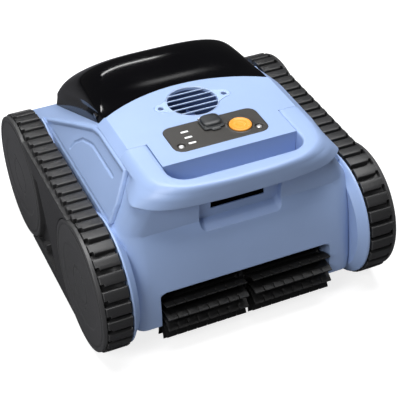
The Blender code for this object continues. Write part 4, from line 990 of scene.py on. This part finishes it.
def knuckle(side):
    """Profile turned about the hinge axis, 4.5 mm in radius with chamfered ends, and a leaf that
    rises from it into the lid's back wall."""
    profile = [(2.6, 60.2), (4.0, 60.2), (4.5, 60.8), (4.5, 79.2), (4.0, 79.8), (2.6, 79.8)]
    barrel = turned(profile, side, HINGE_Y, HINGE_Z, 40)
    leaf = np.array([(197.6, 133.4), (201.4, 131.6), (202.6, 140.0), (202.6, 152.0),
                     (200.4, 152.0), (199.0, 141.0)])
    x = np.array([60.6, 61.2, 78.8, 79.4])[:, None]
    rings = np.stack([side * x + 0 * leaf[None, :, 0], leaf[None, :, 0] + 0 * x,
                      leaf[None, :, 1] + 0 * x], -1)
    return together([barrel, ringed(rings)])


for word, side in SIDES:
    make_piece(f"lid_knuckle_{word}", knuckle(side), "lid", smoke)
dress(smoke, "lid_catch_left", "lid_catch_right")
dress(steel, "lid_hinge_pin_left", "lid_hinge_pin_right", "inlet_flap_pin", "port_cap_pin")
dress(rubber, "lid_seal")

# ---- Filter basket and inlet -------------------------------------------------------------------
# The basket is a pale nylon frame with windows of fine net, open at the top. Water comes up the
# duct in its floor, past a hinged flap that keeps the leaves in, from a rubber mouth below.


def net_material():
    """Woven net between moulded ribs. The weave is the largest product of two sine ridges, each
    along one of the object's axes, and the ribs are bands of plain nylon every 36 mm."""
    net = moulded("basket_net", linear(196, 202, 210), linear(235, 238, 242), 0.5, wear_and_highlight=0.2)
    tree = net.node_tree
    place = tree.nodes.new("ShaderNodeTexCoord").outputs["Object"]
    split = tree.nodes.new("ShaderNodeSeparateXYZ")
    tree.links.new(place, split.inputs[0])
    work = partial(math_node, tree)

    def ridges(pitch):
        return [work("ABSOLUTE", work("SINE", work("MULTIPLY", axis, math.pi / pitch), 0.0), 0.0)
                for axis in split.outputs]

    fine = ridges(0.0016)
    weave = work("MAXIMUM", work("MULTIPLY", fine[0], fine[1]), work("MULTIPLY", fine[1], fine[2]))
    weave = work("MAXIMUM", weave, work("MULTIPLY", fine[0], fine[2]))
    broad = ridges(0.036)
    rib = work("MINIMUM", work("MINIMUM", broad[0], broad[1]), broad[2])
    rib = work("LESS_THAN", rib, 0.16)
    hole = work("MULTIPLY", work("GREATER_THAN", weave, 0.55), work("SUBTRACT", 1.0, rib))
    skin = next(node for node in tree.nodes if node.type == "GROUP")
    shader = tree.nodes["Principled BSDF"]
    # The openings of the weave are painted dark grey: painted shade for the dim space seen through
    # them.
    dark = mix_node(tree, hole, skin.outputs["Colour"], linear(84, 90, 100))
    tree.links.new(dark, shader.inputs["Base Color"])
    bump = tree.nodes.new("ShaderNodeBump")
    bump.inputs["Distance"].default_value = 0.0004
    bump.inputs["Strength"].default_value = 0.6
    tree.links.new(work("SUBTRACT", 1.0, hole), bump.inputs["Height"])
    tree.links.new(skin.outputs["Normal"], bump.inputs["Normal"])
    tree.links.new(bump.outputs["Normal"], shader.inputs["Normal"])
    return net


dress(net_material(), "filter_basket")
nylon = moulded("nylon", linear(186, 192, 200), linear(232, 235, 240), 0.45, cloud=0.08)
dress(nylon, "inlet_duct", "inlet_flap")
dress(rubber, "inlet_nozzle")

# ---- Running gear ------------------------------------------------------------------------------
# Drums that carry the belts, the axles and brush shafts, the flat drive belts to the brushes and
# the bracket between the two rollers.
gear_black = moulded("gear_black", linear(40, 41, 43), linear(96, 98, 100), 0.45, cloud=0.12,
                     wear_and_highlight=0.5)
dress(gear_black, "brush_core_left", "brush_core_right", "brush_hanger", "brush_drive_belt_left",
      "brush_drive_belt_right")
for end in ("front", "rear"):
    for word in ("left", "right"):
        dress(gear_black, f"wheel_{end}_{word}")
        dress(steel, f"axle_{end}_{word}")

# ---- Inside the hull ---------------------------------------------------------------------------
# Two drive motors, the sealed electronics box, the shrink-wrapped battery and the charging
# socket behind the panel.
motor_case = moulded("motor_case", linear(120, 122, 126), linear(190, 192, 196), 0.35,
                     cloud=0.10, wear_and_highlight=0.6)
motor_case.node_tree.nodes["Principled BSDF"].inputs["Metallic"].default_value = 0.7
wrap = moulded("battery_wrap", linear(30, 62, 120), linear(90, 120, 170), 0.28, cloud=0.10,
               wear_and_highlight=0.4)
board_case = moulded("board_case", linear(46, 48, 50), linear(100, 102, 104), 0.5, cloud=0.10)
dress(motor_case, "drive_motor_left", "drive_motor_right")
dress(wrap, "battery_pack")
dress(board_case, "control_board_case", "charging_socket")
